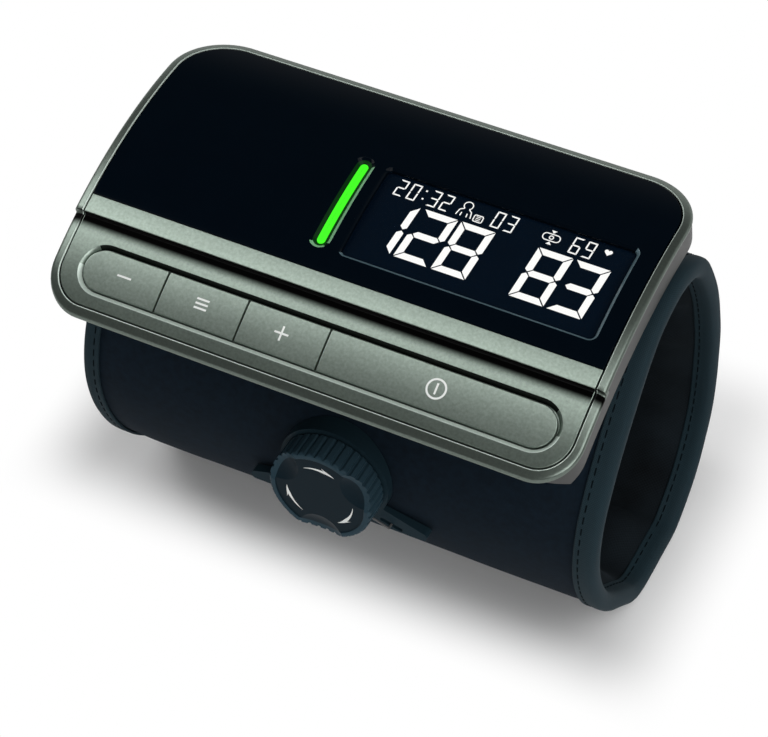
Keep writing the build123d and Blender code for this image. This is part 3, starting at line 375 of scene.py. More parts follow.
# A painted glow: the panel's bevel round the status light gives green light of its own
PAINTED_GREEN_GLOW = Glow("painted_green_glow", (0.0005, 0.024, 0.002), 0.40, specular=0.1, grain=300.0, contrast=0.1)
SHELL_DARK = Finish("shell_moulded", (0.030, 0.031, 0.030), 0.42, grain=2600.0, contrast=0.2, depth=0.012)
LCD_BLACK = Finish("lcd_glass_dark", (0.0012, 0.0055, 0.0130), 0.15, specular=0.15, grain=90.0,
                   contrast=0.3, depth=0.0, smudge=0.02)
PRINT_WHITE = Finish("print_white", (0.82, 0.84, 0.82), 0.5, contrast=0.05, depth=0.0)
DIGIT_WHITE = Glow("digit_white", (1.0, 1.0, 0.98), 0.5, strength=1.0, contrast=0.02)
LIGHT_GREEN = Glow("lit_green", (0.06, 1.0, 0.02), 0.4, strength=1.0, specular=0.1, contrast=0.05)
PANE_CLEAR = Film("pane_clear", (0.002, 0.004, 0.008), 0.05, specular=0.3, smudge=0.01)
GUIDE_CLEAR = Clear("guide_clear", (0.9, 1.0, 0.9), 0.1, smudge=0.1)
# One moulding for the knob: its recessed face is painted darker, as painted shade, and its rim and grips
# lighter, as painted light
DIAL_SIDE_LIT = Finish("dial_side_painted_light", (0.0240, 0.0490, 0.0660), 0.34, specular=0.05, grain=1800.0,
                    contrast=0.25, depth=0.012)
DIAL_FACE_SHADED = replace(DIAL_SIDE_LIT, name="dial_face_painted_shade", colour=(0.0060, 0.0150, 0.0220))
# The dial's base is darker than the grips: partly its own dark plastic, partly painted shade behind the
# knob
DIAL_FOOT_SHADED = replace(DIAL_SIDE_LIT, name="dial_foot_painted_shade", colour=(0.0120, 0.0260, 0.0350))
CLOTH = Woven("woven_nylon", (0.0034, 0.0090, 0.0160), 0.9, specular=0.12, contrast=0.10,
              rib=0.008, sheen=0.01, fuzz=1.0, slub=500.0)
MESH_LINING = Woven("knitted_mesh", (0.0052, 0.0080, 0.0104), 0.9, specular=0.10, contrast=0.3,
                    pitch=1.1, rib=0.02, sheen=0.03, patches=2.4)
TAPE = Woven("ribbed_tape", (0.0084, 0.0222, 0.0300), 0.8, specular=0.2, contrast=0.4, pitch=0.7,
             rib=0.015, sheen=0.02)
THREAD = Finish("stitch_thread", (0.002, 0.005, 0.007), 0.8, specular=0.05, grain=4000.0,
                contrast=0.4, depth=0.02)
BOARD_GREEN = Finish("board_green", (0.01, 0.09, 0.035), 0.4, grain=700.0, contrast=0.3)
STEEL = Finish("steel", (0.55, 0.55, 0.55), 0.3, 1.0, grain=3000.0, contrast=0.15)
BRASS = Finish("brass", (0.60, 0.44, 0.20), 0.3, 1.0, grain=2500.0, contrast=0.15)
INNER_WHITE = Finish("moulded_white", (0.55, 0.55, 0.52), 0.5, contrast=0.06)
RUBBER = Finish("rubber", (0.03, 0.03, 0.03), 0.75, contrast=0.2, depth=0.02)
WRAP_BLUE = Finish("wrap_blue", (0.03, 0.10, 0.32), 0.3, contrast=0.08)
CHIP_BLACK = Finish("chip_black", (0.02, 0.02, 0.022), 0.5, contrast=0.15)
CORD_GREY = Finish("braided_cord", (0.10, 0.10, 0.10), 0.6, grain=5000.0, contrast=0.5, depth=0.03)

CAD_FINISHES: dict[str, tuple[Finish, str]] = {
    "lower_shell": (SHELL_DARK, "shell_dark"), "lcd_module": (LCD_BLACK, "lcd_glass"),
    "backlight": (INNER_WHITE, "backlight"), "lcd_frame": (INNER_WHITE, "inner_plastic"),
    "main_board": (BOARD_GREEN, "circuit_board"), "status_leds": (INNER_WHITE, "led_body"),
    "light_guide": (GUIDE_CLEAR, "clear_guide"), "key_board": (BOARD_GREEN, "circuit_board"),
    "key_switches": (STEEL, "switch_metal"), "air_pump": (STEEL, "pump_metal"),
    "release_valve": (BRASS, "valve_brass"), "air_hose": (RUBBER, "hose_rubber"),
    "battery_pack": (WRAP_BLUE, "battery_wrap"), "pressure_sensor": (CHIP_BLACK, "inner_plastic"),
    "radio_module": (STEEL, "switch_metal"), "buzzer": (CHIP_BLACK, "inner_plastic"),
    "charge_socket": (STEEL, "switch_metal"), "housing_screws": (STEEL, "screw_steel"),
    "cuff_mount_plate": (SHELL_DARK, "mount_plastic"), "plate_screws": (STEEL, "screw_steel"),
    "dial_base": (DIAL_FOOT_SHADED, "dial_plastic"), "dial_post": (STEEL, "screw_steel"),
    "dial_bush": (BRASS, "valve_brass"), "pawl_disc": (INNER_WHITE, "inner_plastic"),
    "lace_spool": (INNER_WHITE, "inner_plastic"), "tension_lace": (CORD_GREY, "lace_cord"),
    "cuff_stiffener": (INNER_WHITE, "inner_plastic"), "air_bladder": (RUBBER, "bladder_rubber"),
    "lace_eyelets": (BRASS, "valve_brass")}


# ---- meshes ----------------------------------------------------------------------------
FACE_STEP = 1.5


def filled(loops: Sequence[Loop], cuts: Iterable[float]) -> tuple[Loop, list[tuple[int, ...]]]:
    """Fill a flat area and cut it into rows.

    Args:
        loops: Outline first, then the holes.
        cuts: Second coordinates of the cuts.

    Returns:
        The flat points and the faces between them.
    """
    mesh = bmesh.new()
    edges = []
    for loop in loops:
        apart = [loop[i] for i in range(len(loop)) if math.dist(loop[i - 1], loop[i]) > 1e-4]
        corners = [mesh.verts.new((u, v, 0.0)) for u, v in apart]
        edges += [mesh.edges.new((corners[i - 1], corners[i])) for i in range(len(corners))]
    bmesh.ops.triangle_fill(mesh, edges=edges, use_beauty=True, use_dissolve=False)
    for cut in cuts:
        every = mesh.verts[:] + mesh.edges[:] + mesh.faces[:]
        bmesh.ops.bisect_plane(mesh, geom=every, dist=1e-5, plane_co=(0, cut, 0), plane_no=(0, 1, 0))
    mesh.verts.index_update()
    points = [(vert.co.x, vert.co.y) for vert in mesh.verts]
    faces = [tuple(vert.index for vert in face.verts) for face in mesh.faces]
    mesh.free()
    return points, faces


@dataclass
class Skin:
    """The faces of one piece, gathered row by row and sheet by sheet."""

    points: list[Vector] = field(default_factory=list)
    faces: list[tuple[int, ...]] = field(default_factory=list)
    paints: list[int] = field(default_factory=list)
    true_faces: set[int] = field(default_factory=set)
    unrolled: list[Pair] = field(default_factory=list)

    def row(self, points: Iterable[Vector]) -> list[int]:
        """Add a row of points and return their indices."""
        start = len(self.points)
        self.points.extend(points)
        return list(range(start, len(self.points)))

    def join(self, first: Sequence[int], second: Sequence[int], closed: bool = True,
             paint: int = 0) -> None:
        """Join two rows of the same length by quads."""
        for index in range(0 if closed else 1, len(first)):
            self.faces.append((first[index - 1], first[index], second[index], second[index - 1]))
            self.paints.append(paint)

    def rows(self, rows: Iterable[Iterable[Vector]], closed: bool = True,
             paint: int = 0) -> list[list[int]]:
        """Join many rows, each to the next, and return their indices."""
        made = [self.row(points) for points in rows]
        for first, second in zip(made, made[1:]):
            self.join(first, second, closed, paint)
        return made

    def sheet(self, loops: Sequence[Loop], place: Callable[[float, float], Vector],
              cuts: Iterable[float] = (), paint: int = 0, true: bool = True) -> None:
        """Fill a flat area and lay it on a surface.

        Args:
            loops: Outline first, then the holes.
            place: Gives the place in the scene of a flat point.
            cuts: Second coordinates where the sheet may bend.
            paint: Number of the finish.
            true: Whether the faces take the exact normal of the surface.
        """
        points, faces = filled(loops, cuts)
        start = len(self.points)
        self.points.extend(place(u, v) for u, v in points)
        for face in faces:
            if true:
                self.true_faces.add(len(self.faces))
            self.faces.append(tuple(start + index for index in face))
            self.paints.append(paint)

    def build(self, name: str, finishes: Sequence[Finish], sharp: float = 32.0,
              normal: Callable[[Vector], Vector] | None = None, merge: bool = True) -> bpy.types.Object:
        """Make the object.

        Args:
            name: Name of the piece.
            finishes: Its finishes, in the order of their numbers.
            sharp: Angle in degrees above which an edge stays sharp.
            normal: Exact normal at a place, for the faces that want it.
            merge: Whether points in the same place become one.
        """
        mesh = bpy.data.meshes.new(name)
        mesh.from_pydata([tuple(point) for point in self.points], [], self.faces)
        mesh.polygons.foreach_set("material_index", self.paints)
        mark = mesh.attributes.new("true_face", "INT", "FACE")
        mark.data.foreach_set("value", [int(i in self.true_faces) for i in range(len(self.faces))])
        if self.unrolled:
            layer = mesh.uv_layers.new(name="unrolled")
            for corner in mesh.loops:
                layer.data[corner.index].uv = self.unrolled[corner.vertex_index]
        work = bmesh.new()
        work.from_mesh(mesh)
        if merge:
            bmesh.ops.remove_doubles(work, verts=work.verts, dist=1e-7)
        bmesh.ops.recalc_face_normals(work, faces=work.faces)
        work.to_mesh(mesh)
        work.free()
        for finish in finishes:
            mesh.materials.append(finish.material())
        mesh.shade_smooth()
        mesh.set_sharp_from_angle(angle=math.radians(sharp))
        if normal:
            self.straighten(mesh, normal)
        made = bpy.data.objects.new(name, mesh)
        bpy.context.scene.collection.objects.link(made)
        return made

    @staticmethod
    def straighten(mesh: bpy.types.Mesh, normal: Callable[[Vector], Vector]) -> None:
        """Give the marked faces the exact normals of their surface."""
        marks = mesh.attributes["true_face"].data
        normals = [Vector((0, 0, 0)) for corner in mesh.loops]
        for face in mesh.polygons:
            if marks[face.index].value:
                for corner in face.loop_indices:
                    exact = normal(mesh.vertices[mesh.loops[corner].vertex_index].co)
                    normals[corner] = exact if exact.dot(face.normal) > 0 else -exact
        mesh.normals_split_custom_set(normals)


def spaced(start: float, end: float, step: float) -> list[float]:
    """Return even places from start to end, both included, at most a step apart."""
    count = max(1, math.ceil(abs(end - start) / step))
    return [start + (end - start) * index / count for index in range(count + 1)]


def corner_arc(middle: Pair, radius: float, start: float, count: int = 10, sweep: float = 90.0) -> Loop:
    """Return an arc about a point, from an angle in degrees through a sweep."""
    angles = [math.radians(start + sweep * index / count) for index in range(count + 1)]
    return [(middle[0] + radius * math.cos(a), middle[1] + radius * math.sin(a)) for a in angles]


def rounded_box(width: float, height: float, radius: float, grow: float = 0.0,
                step: float = FACE_STEP) -> Loop:
    """Return a rounded rectangle, with the same number of points however much it is grown.

    Args:
        width: Size along the first axis.
        height: Size along the second axis.
        radius: Corner radius before growing.
        grow: Distance that the outline is moved outwards.
        step: Longest straight stretch.
    """
    a, b = width / 2 - radius, height / 2 - radius
    reach = radius + grow
    loop: Loop = []
    for sign_u, sign_v, start in ((1, 1, 0.0), (-1, 1, 90.0), (-1, -1, 180.0), (1, -1, 270.0)):
        loop += corner_arc((sign_u * a, sign_v * b), reach, start)
        if sign_u == sign_v:
            loop += [(sign_u * t, sign_v * (b + reach)) for t in spaced(a, -a, step)[1:-1]]
        else:
            loop += [(sign_u * (a + reach), sign_v * t) for t in spaced(b, -b, step)[1:-1]]
    return loop


# ---- the housing's form ----------------------------------------------------------------
@dataclass(frozen=True)
class Face:
    """The curved face of the housing and its place over the cuff."""

    radius: float = 122.7
    arc: float = 99.2
    length: float = 155.0
    origin: tuple[float, float, float] = (-1.0, -13.379, 130.95)
    tilt: float = 14.3
    front_corner: float = 12.0
    rear_corner: float = 17.0
    step_at: float = -22.7
    step_drop: float = 1.5
    riser_back: float = -21.1
    band_back: float = -17.3

    def world(self, x: float, y: float, z: float) -> Vector:
        """Return the scene's place of a point of the housing's frame."""
        point = Matrix.Rotation(math.radians(self.tilt), 4, "X") @ Vector((x, y, z))
        return (point + Vector(self.origin)) * MM

    def place(self, x: float, y: float, depth: float) -> Vector:
        """Return the scene's place at X and Y of the housing, at a depth below the face."""
        return self.world(x, y, math.sqrt((self.radius - depth) ** 2 - y * y) - self.radius)

    def across(self, s: float, depth: float = 0.0) -> float:
        """Return Y at an arc place and a depth."""
        return (self.radius - depth) * math.sin(s / self.radius)

    def normal(self, point: Vector) -> Vector:
        """Return the face's normal at a place in the scene."""
        axis = self.world(0, 0, -self.radius)
        away = point - axis
        away.x = 0.0
        return away.normalized()


@dataclass(frozen=True)
class Spot:
    """A flat frame that touches the face at X and an arc place."""

    x: float
    s: float
    face: Face = Face()

    def plan(self, u: float, v: float, depth: float) -> Pair:
        """Return X and Y of the housing for a point of the frame, sunk to a depth."""
        a = self.s / self.face.radius
        w = math.sqrt((self.face.radius - depth) ** 2 - v * v) - self.face.radius
        return self.x + u, self.face.across(self.s) + v * math.cos(a) + w * math.sin(a)

    def place(self, u: float, v: float, depth: float) -> Vector:
        """Return the scene's place of a point of the frame, sunk to a depth below the face."""
        return self.face.place(*self.plan(u, v, depth), depth)

    def flat(self, u: float, v: float, depth: float) -> Vector:
        """Return the scene's place of a point of the frame at a depth below its flat plane."""
        a = self.s / self.face.radius
        y = self.face.across(self.s) + v * math.cos(a) - depth * math.sin(a)
        z = self.face.radius * (math.cos(a) - 1) - v * math.sin(a) - depth * math.cos(a)
        return self.face.world(self.x + u, y, z)


@dataclass(frozen=True)
class Station:
    """One place of the housing's outline, at any inset."""

    middle: Pair
    towards: Pair
    radius: float
    drop: float = 0.0
    foot: float = 1.5

    def at(self, inset: float) -> Pair:
        """Return X and Y at an inset from the outline."""
        reach = self.radius - inset
        return self.middle[0] + self.towards[0] * reach, self.middle[1] + self.towards[1] * reach


@dataclass
class Outline:
    """The housing's outline as stations: round the front, up the right, round the back."""

    face: Face = field(default_factory=Face)
    cove: float = 0.35
    edge: float = 0.15
    foot: float = 1.5
    band_foot: float = 3.0

    def descent(self, cove: float) -> list[Pair]:
        """Return Y and drop down the step, from the upper deck to the lower one.

        Args:
            cove: Radius of the fillet at the step's foot.
        """
        top, drop = self.face.across(self.face.step_at), self.face.step_drop
        path = [(top + self.edge, 0.0), (top + self.edge * 0.3, self.edge * 0.3), (top, self.edge)]
        for index in range(7):
            turn = math.radians(15 * index)
            path.append((top - cove * (1 - math.cos(turn)), drop - cove * (1 - math.sin(turn))))
        return path

    def side(self, low: float, high: float) -> list[tuple[float, float, float]]:
        """Return Y, drop and foot of the stations up one side, from front to back."""
        path = self.descent(self.cove)[::-1]
        back = self.face.across(self.face.riser_back)
        lower = spaced(low, path[0][0], FACE_STEP)[:-1]
        stops = [(y, self.face.step_drop, self.foot) for y in lower]
        stops += [(y, drop, self.band_foot - drop) for y, drop in path]
        stops += [(back - 0.001, 0.0, self.band_foot), (back, 0.0, self.foot)]
        return stops + [(y, 0.0, self.foot) for y in spaced(back, high, FACE_STEP)[1:]]

    def right(self, low: float, high: float) -> list[Station]:
        """Return the stations up the right side between two values of Y."""
        half, edge = self.face.length / 2, self.edge_y()
        stops = self.side(-edge + self.face.front_corner, edge - self.face.rear_corner)
        return [Station((0.0, y), (1.0, 0.0), half, drop, foot)
                for y, drop, foot in stops if low <= y <= high]

    def edge_y(self) -> float:
        """Return Y of the outline's rear edge."""
        return self.face.across(self.face.arc / 2)

    def front(self) -> list[Station]:
        """Return the stations round the front, from the left corner to the right one."""
        radius, drop = self.face.front_corner, self.face.step_drop
        half = self.face.length / 2 - radius
        y = -self.edge_y() + radius
        left = corner_arc((0, 0), 1.0, 180.0, 14)
        right = corner_arc((0, 0), 1.0, 270.0, 14)
        middle = [Station((x, y), (0.0, -1.0), radius, drop) for x in spaced(-half, half, 12)[1:-1]]
        return ([Station((-half, y), way, radius, drop) for way in left] + middle
                + [Station((half, y), way, radius, drop) for way in right])

    def rear(self) -> list[Station]:
        """Return the stations round the back, from the right corner to the left one."""
        radius = self.face.rear_corner
        half, y = self.face.length / 2 - radius, self.edge_y() - radius
        right = corner_arc((0, 0), 1.0, 0.0, 18)
        left = corner_arc((0, 0), 1.0, 90.0, 18)
        middle = [Station((x, y), (0.0, 1.0), radius) for x in spaced(half, -half, 12)[1:-1]]
        return ([Station((half, y), way, radius) for way in right] + middle
                + [Station((-half, y), way, radius) for way in left])

    @staticmethod
    def mirrored(stations: Sequence[Station]) -> list[Station]:
        """Return stations of the right side for the left side, from back to front."""
        return [Station(s.middle, (-s.towards[0], s.towards[1]), s.radius, s.drop, s.foot)
                for s in reversed(stations)]

    def whole(self) -> list[Station]:
        """Return all stations, once round."""
        side = self.right(-math.inf, math.inf)
        return self.front() + side + self.rear() + self.mirrored(side)

    def ring(self, stations: Sequence[Station], inset: float, depth: float,
             to_foot: bool = False) -> list[Vector]:
        """Return a row along stations.

        Args:
            stations: The stations.
            inset: Distance inside the outline.
            depth: Depth below the deck, or below the rim's foot.
            to_foot: Whether the depth counts from the rim's foot.
        """
        return [self.face.place(*s.at(inset), depth + s.drop + (s.foot if to_foot else 0.0))
                for s in stations]


# ---- the housing -----------------------------------------------------------------------
WINDOW_SPOT = Spot(32.7, 4.7)


class RimPaint(IntEnum):
    """Numbers of the rim's finishes."""

    METAL = 0
    GAP_AND_PAINTED_SHADE = 1
    PAINTED_HIGHLIGHT = 2


class PanelPaint(IntEnum):
    """Numbers of the display panel's finishes."""

    BLACK = 0
    WINDOW_BEVEL_HIGHLIGHT = 1
    LIGHT_BEVEL_HIGHLIGHT = 2
    PAINTED_GREEN_GLOW = 3


class DeckPaint(IntEnum):
    """Numbers of the deck's finishes."""

    BAND = 0
    GAP_AND_PAINTED_SHADE = 1
    LOWER_SHADED = 2
    PAINTED_HIGHLIGHT = 3
    GROOVE_PAINTED_SHADE = 4


@dataclass
class Housing:
    """Rim, panels, display and status light."""

    outline: Outline = field(default_factory=Outline)
    rim_width: float = 2.6
    panel_inset: float = 3.0
    panel: float = 1.6
    lip: float = 0.16
    seam: float = 0.15
    seam_gap: float = 0.3
    # Arc places where the painted shadow at the step's foot is darkest and where it has faded
    painted_shadow: Pair = (-24.6, -27.6)
    window: tuple[float, float, float] = (72.0, 29.7, 1.6)
    window_spot: Spot = WINDOW_SPOT
    window_bevel: float = 0.8
    light: tuple[float, float] = (2.3, 28.0)
    light_spot: Spot = Spot(-10.0, 5.0)
    light_bevel: float = 1.3
    light_flare: float = 0.6
    # How near the right or front side a bevel must lie to take the painted highlight
    highlight_from: float = 0.97

    def with_painted_shadow(self, finish: Finish) -> PaintedStepShadow:
        """Return a copy of a finish with a painted shadow at the foot of the step."""
        face = self.outline.face
        edge = face.place(0.0, face.across(face.step_at), 0.5).y
        dark, clear = (face.place(0.0, face.across(s, face.step_drop), face.step_drop).y
                       for s in self.painted_shadow)
        same = {**asdict(finish), "name": f"{finish.name}_sheltered"}
        return PaintedStepShadow(**same, edge=edge, dark=dark, clear=clear)

    def rim(self) -> bpy.types.Object:
        """Build the metallic rim, with the ledge that closes the hairline."""
        wide = self.rim_width
        profile = ((wide + 3.0, 1.75), (wide, 1.75), (wide, 0.34), (wide - 0.09, 0.12),
                   (wide - 0.30, 0.0), (wide - 0.50, 0.02), (1.0, 0.22), (0.6, 0.30), (0.30, 0.46),
                   (0.10, 0.72), (0.0, 1.05))
        stations = self.outline.whole()
        skin = Skin()
        rows = [self.outline.ring(stations, *place) for place in profile]
        for inset, depth in ((0.0, -0.1), (0.1, 0.0), (2.0, 0.0)):
            rows.append(self.outline.ring(stations, inset, depth, True))
        skin.rows(rows[:3], paint=RimPaint.GAP_AND_PAINTED_SHADE)
        # The rim's inner edge is painted lighter, as a painted highlight
        skin.rows(rows[2:5], paint=RimPaint.PAINTED_HIGHLIGHT)
        skin.rows(rows[4:])
        # The rim's metals carry the painted shadow at the step's foot
        finishes = [self.with_painted_shadow(RIM_METAL), GAP_AND_PAINTED_SHADE, self.with_painted_shadow(HIGHLIGHT_METAL)]
        made = skin.build("rim", finishes, sharp=40.0)
        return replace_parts(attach(made, "housing"), "bezel_frame")

    def window_loop(self, grow: float) -> Loop:
        """Return the window's outline in its own frame."""
        return rounded_box(*self.window, grow)

    def light_loop(self, grow: float) -> Loop:
        """Return the status light's outline in its own frame."""
        return rounded_box(*self.light, self.light[0] / 2 - 0.01, grow)

    def opening(self, skin: Skin, spot: Spot, loop: Callable[[float], Loop], bevel: float,
                paint: PanelPaint, flare: float = 0.0, foot: PanelPaint | None = None) -> Loop:
        """Build the bevelled wall of an opening in the face.

        Args:
            skin: Skin that takes the faces.
            spot: Frame of the opening.
            loop: Outline for a growth.
            bevel: Depth of the bevel.
            paint: Number of the painted highlight on the bevel's right and front sides.
            flare: How much wider than deep the bevel is.
            foot: Number of the finish of the bevel's lower half, such as the painted green glow round the
                status light, or None for the same as above it.

        Returns:
            The opening's outline in X and Y of the housing, at the face.
        """
        wide = bevel + flare
        profile = ((wide + 0.06, 0.0), (wide - 0.05, 0.04), (wide * 0.55, bevel * 0.5),
                   (0.08, bevel - 0.10), (0.0, bevel + 0.05), (0.0, self.panel))
        first, outline = len(skin.paints), loop(0.0)
        half_u, half_v = (max(point[axis] for point in outline) for axis in (0, 1))
        skin.rows([[spot.place(u, v, depth) for u, v in loop(grow)] for grow, depth in profile])
        for index in range(first, len(skin.paints)):
            row, place = divmod(index - first, len(outline))
            u, v = outline[place]
            # Only the bevel's right and front sides take the painted highlight; the rest stays panel black
            lit = paint if max(u / half_u, -v / half_v) > self.highlight_from else PanelPaint.BLACK
            skin.paints[index] = lit if foot is None or row < 2 else foot
        return [spot.plan(u, v, 0.0) for u, v in loop(profile[0][0])]

    def display_panel(self) -> bpy.types.Object:
        """Build the glossy panel with its window and the slot of the status light."""
        face = self.outline.face
        low = face.across(face.band_back + self.seam)
        side = self.outline.right(low + self.seam_gap, math.inf)
        skin = Skin()
        rows, last = [], []
        for inset, depth in ((0.0, self.panel), (0.0, 0.18), (0.05, 0.05), (0.18, 0.0)):
            start = Station((0.0, low + inset), (1.0, 0.0), face.length / 2)
            stations = [start, *side, *self.outline.rear(), *self.outline.mirrored([start, *side])]
            rows.append(self.outline.ring(stations, self.panel_inset + inset, depth))
            last = [station.at(self.panel_inset + inset) for station in stations]
        skin.rows(rows)
        holes = [self.opening(skin, self.window_spot, self.window_loop, self.window_bevel,
                              PanelPaint.WINDOW_BEVEL_HIGHLIGHT),
                 self.opening(skin, self.light_spot, self.light_loop, self.light_bevel,
                              PanelPaint.LIGHT_BEVEL_HIGHLIGHT, self.light_flare, PanelPaint.PAINTED_GREEN_GLOW)]
        cuts = spaced(low, self.outline.edge_y(), FACE_STEP)
        skin.sheet([last, *holes], lambda x, y: face.place(x, y, 0.0), cuts)
        made = skin.build("display_panel_gloss", [PANEL_BLACK, WINDOW_BEVEL_HIGHLIGHT, LIGHT_BEVEL_HIGHLIGHT, PAINTED_GREEN_GLOW],
                          normal=face.normal)
        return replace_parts(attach(made, "housing"), "display_panel")

    def deck(self, keys: "Keys") -> bpy.types.Object:
        """Build the metal band, the step and the lower deck with the keys' opening.

        Args:
            keys: The key row, which gives the opening.
        """
        face = self.outline.face
        high = face.across(face.band_back)
        side = self.outline.right(-math.inf, high - self.seam_gap)
        skin = Skin()
        rows, inset = [], self.panel_inset
        for step, depth in ((0.0, self.panel), (0.0, self.lip), (0.05, 0.05), (self.lip, 0.0)):
            end = Station((0.0, high - step), (1.0, 0.0), face.length / 2)
            stations = [*self.outline.mirrored([*side, end]), *self.outline.front(), *side, end]
            rows.append(self.outline.ring(stations, inset + step, depth))
        skin.rows(rows)
        inset += self.lip
        half, back = face.length / 2 - inset, high - self.lip
        path = self.outline.descent(self.outline.cove)
        top, foot = path[0][0], path[-1][0]
        band = [(half, back), (-half, back), (-half, top), (half, top)]
        skin.sheet([band], lambda x, y: face.place(x, y, 0.0), spaced(top, back, FACE_STEP))
        riser = [[face.place(x, y, drop) for x in (-half, half)] for y, drop in path]
        skin.rows(riser[:3], closed=False)
        # Below its top edge, the riser and its cove are painted black as painted shade under the band
        skin.rows(riser[2:], closed=False, paint=DeckPaint.GAP_AND_PAINTED_SHADE)
        right = self.outline.right(-math.inf, foot + 1e-6)
        front = [s.at(inset) for s in [*self.outline.front(), *right]]
        left = [s.at(inset) for s in self.outline.mirrored(right)]
        hole = keys.opening(skin)
        cuts = spaced(-self.outline.edge_y() + self.panel_inset, foot, FACE_STEP)
        skin.sheet([left[:-1] + front, hole], lambda x, y: face.place(x, y, face.step_drop), cuts,
                   paint=DeckPaint.LOWER_SHADED)
        # The lower deck takes the darker metal as painted shade, with the painted shadow at the step's
        # foot
        finishes = [DECK_METAL, GAP_AND_PAINTED_SHADE, self.with_painted_shadow(LOWER_METAL_SHADED), HIGHLIGHT_METAL, GROOVE_SHADE_METAL]
        made = skin.build("deck_satin", finishes, normal=face.normal)
        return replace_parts(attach(made, "housing"), "deck_panel")

    def window_pane(self) -> bpy.types.Object:
        """Build the clear pane of the display."""
        face, spot = self.outline.face, self.window_spot
        skin, outline, depths = Skin(), self.window_loop(-0.02), (1.0, self.panel)
        skin.rows([[spot.place(u, v, depth) for u, v in outline] for depth in depths])
        for depth in depths:
            loop = [spot.plan(u, v, depth) for u, v in outline]
            low, high = min(y for x, y in loop), max(y for x, y in loop)
            skin.sheet([loop], lambda x, y, d=depth: face.place(x, y, d), spaced(low, high, FACE_STEP))
        made = skin.build("window_pane", [PANE_CLEAR], normal=face.normal)
        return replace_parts(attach(made, "housing"), "display_window")

    def lens(self) -> bpy.types.Object:
        """Build the green lens of the status light."""
        spot = self.light_spot
        skin = Skin()
        profile = ((-0.02, 1.5), (-0.02, 1.15), (-0.10, 1.04), (-0.35, 0.98), (-0.8, 0.96),
                   (-1.13, 0.96))
        rows = [[spot.place(u, v, depth) for u, v in self.light_loop(grow)] for grow, depth in profile]
        skin.rows(rows)
        made = skin.build("status_light_lens", [LIGHT_GREEN])
        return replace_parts(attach(made, "housing"), "status_light")

    def build(self, keys: "Keys") -> list[bpy.types.Object]:
        """Build all pieces of the housing."""
        return [self.rim(), self.display_panel(), self.deck(keys), self.window_pane(), self.lens()]


# ---- keys ------------------------------------------------------------------------------
class KeyPaint(IntEnum):
    """Numbers of a key's finishes."""

    METAL = 0
    PRINT = 1


class Sign(Enum):
    """What is printed on a key."""

    MINUS = "minus"
    LIST = "list"
    PLUS = "plus"
    POWER = "power"


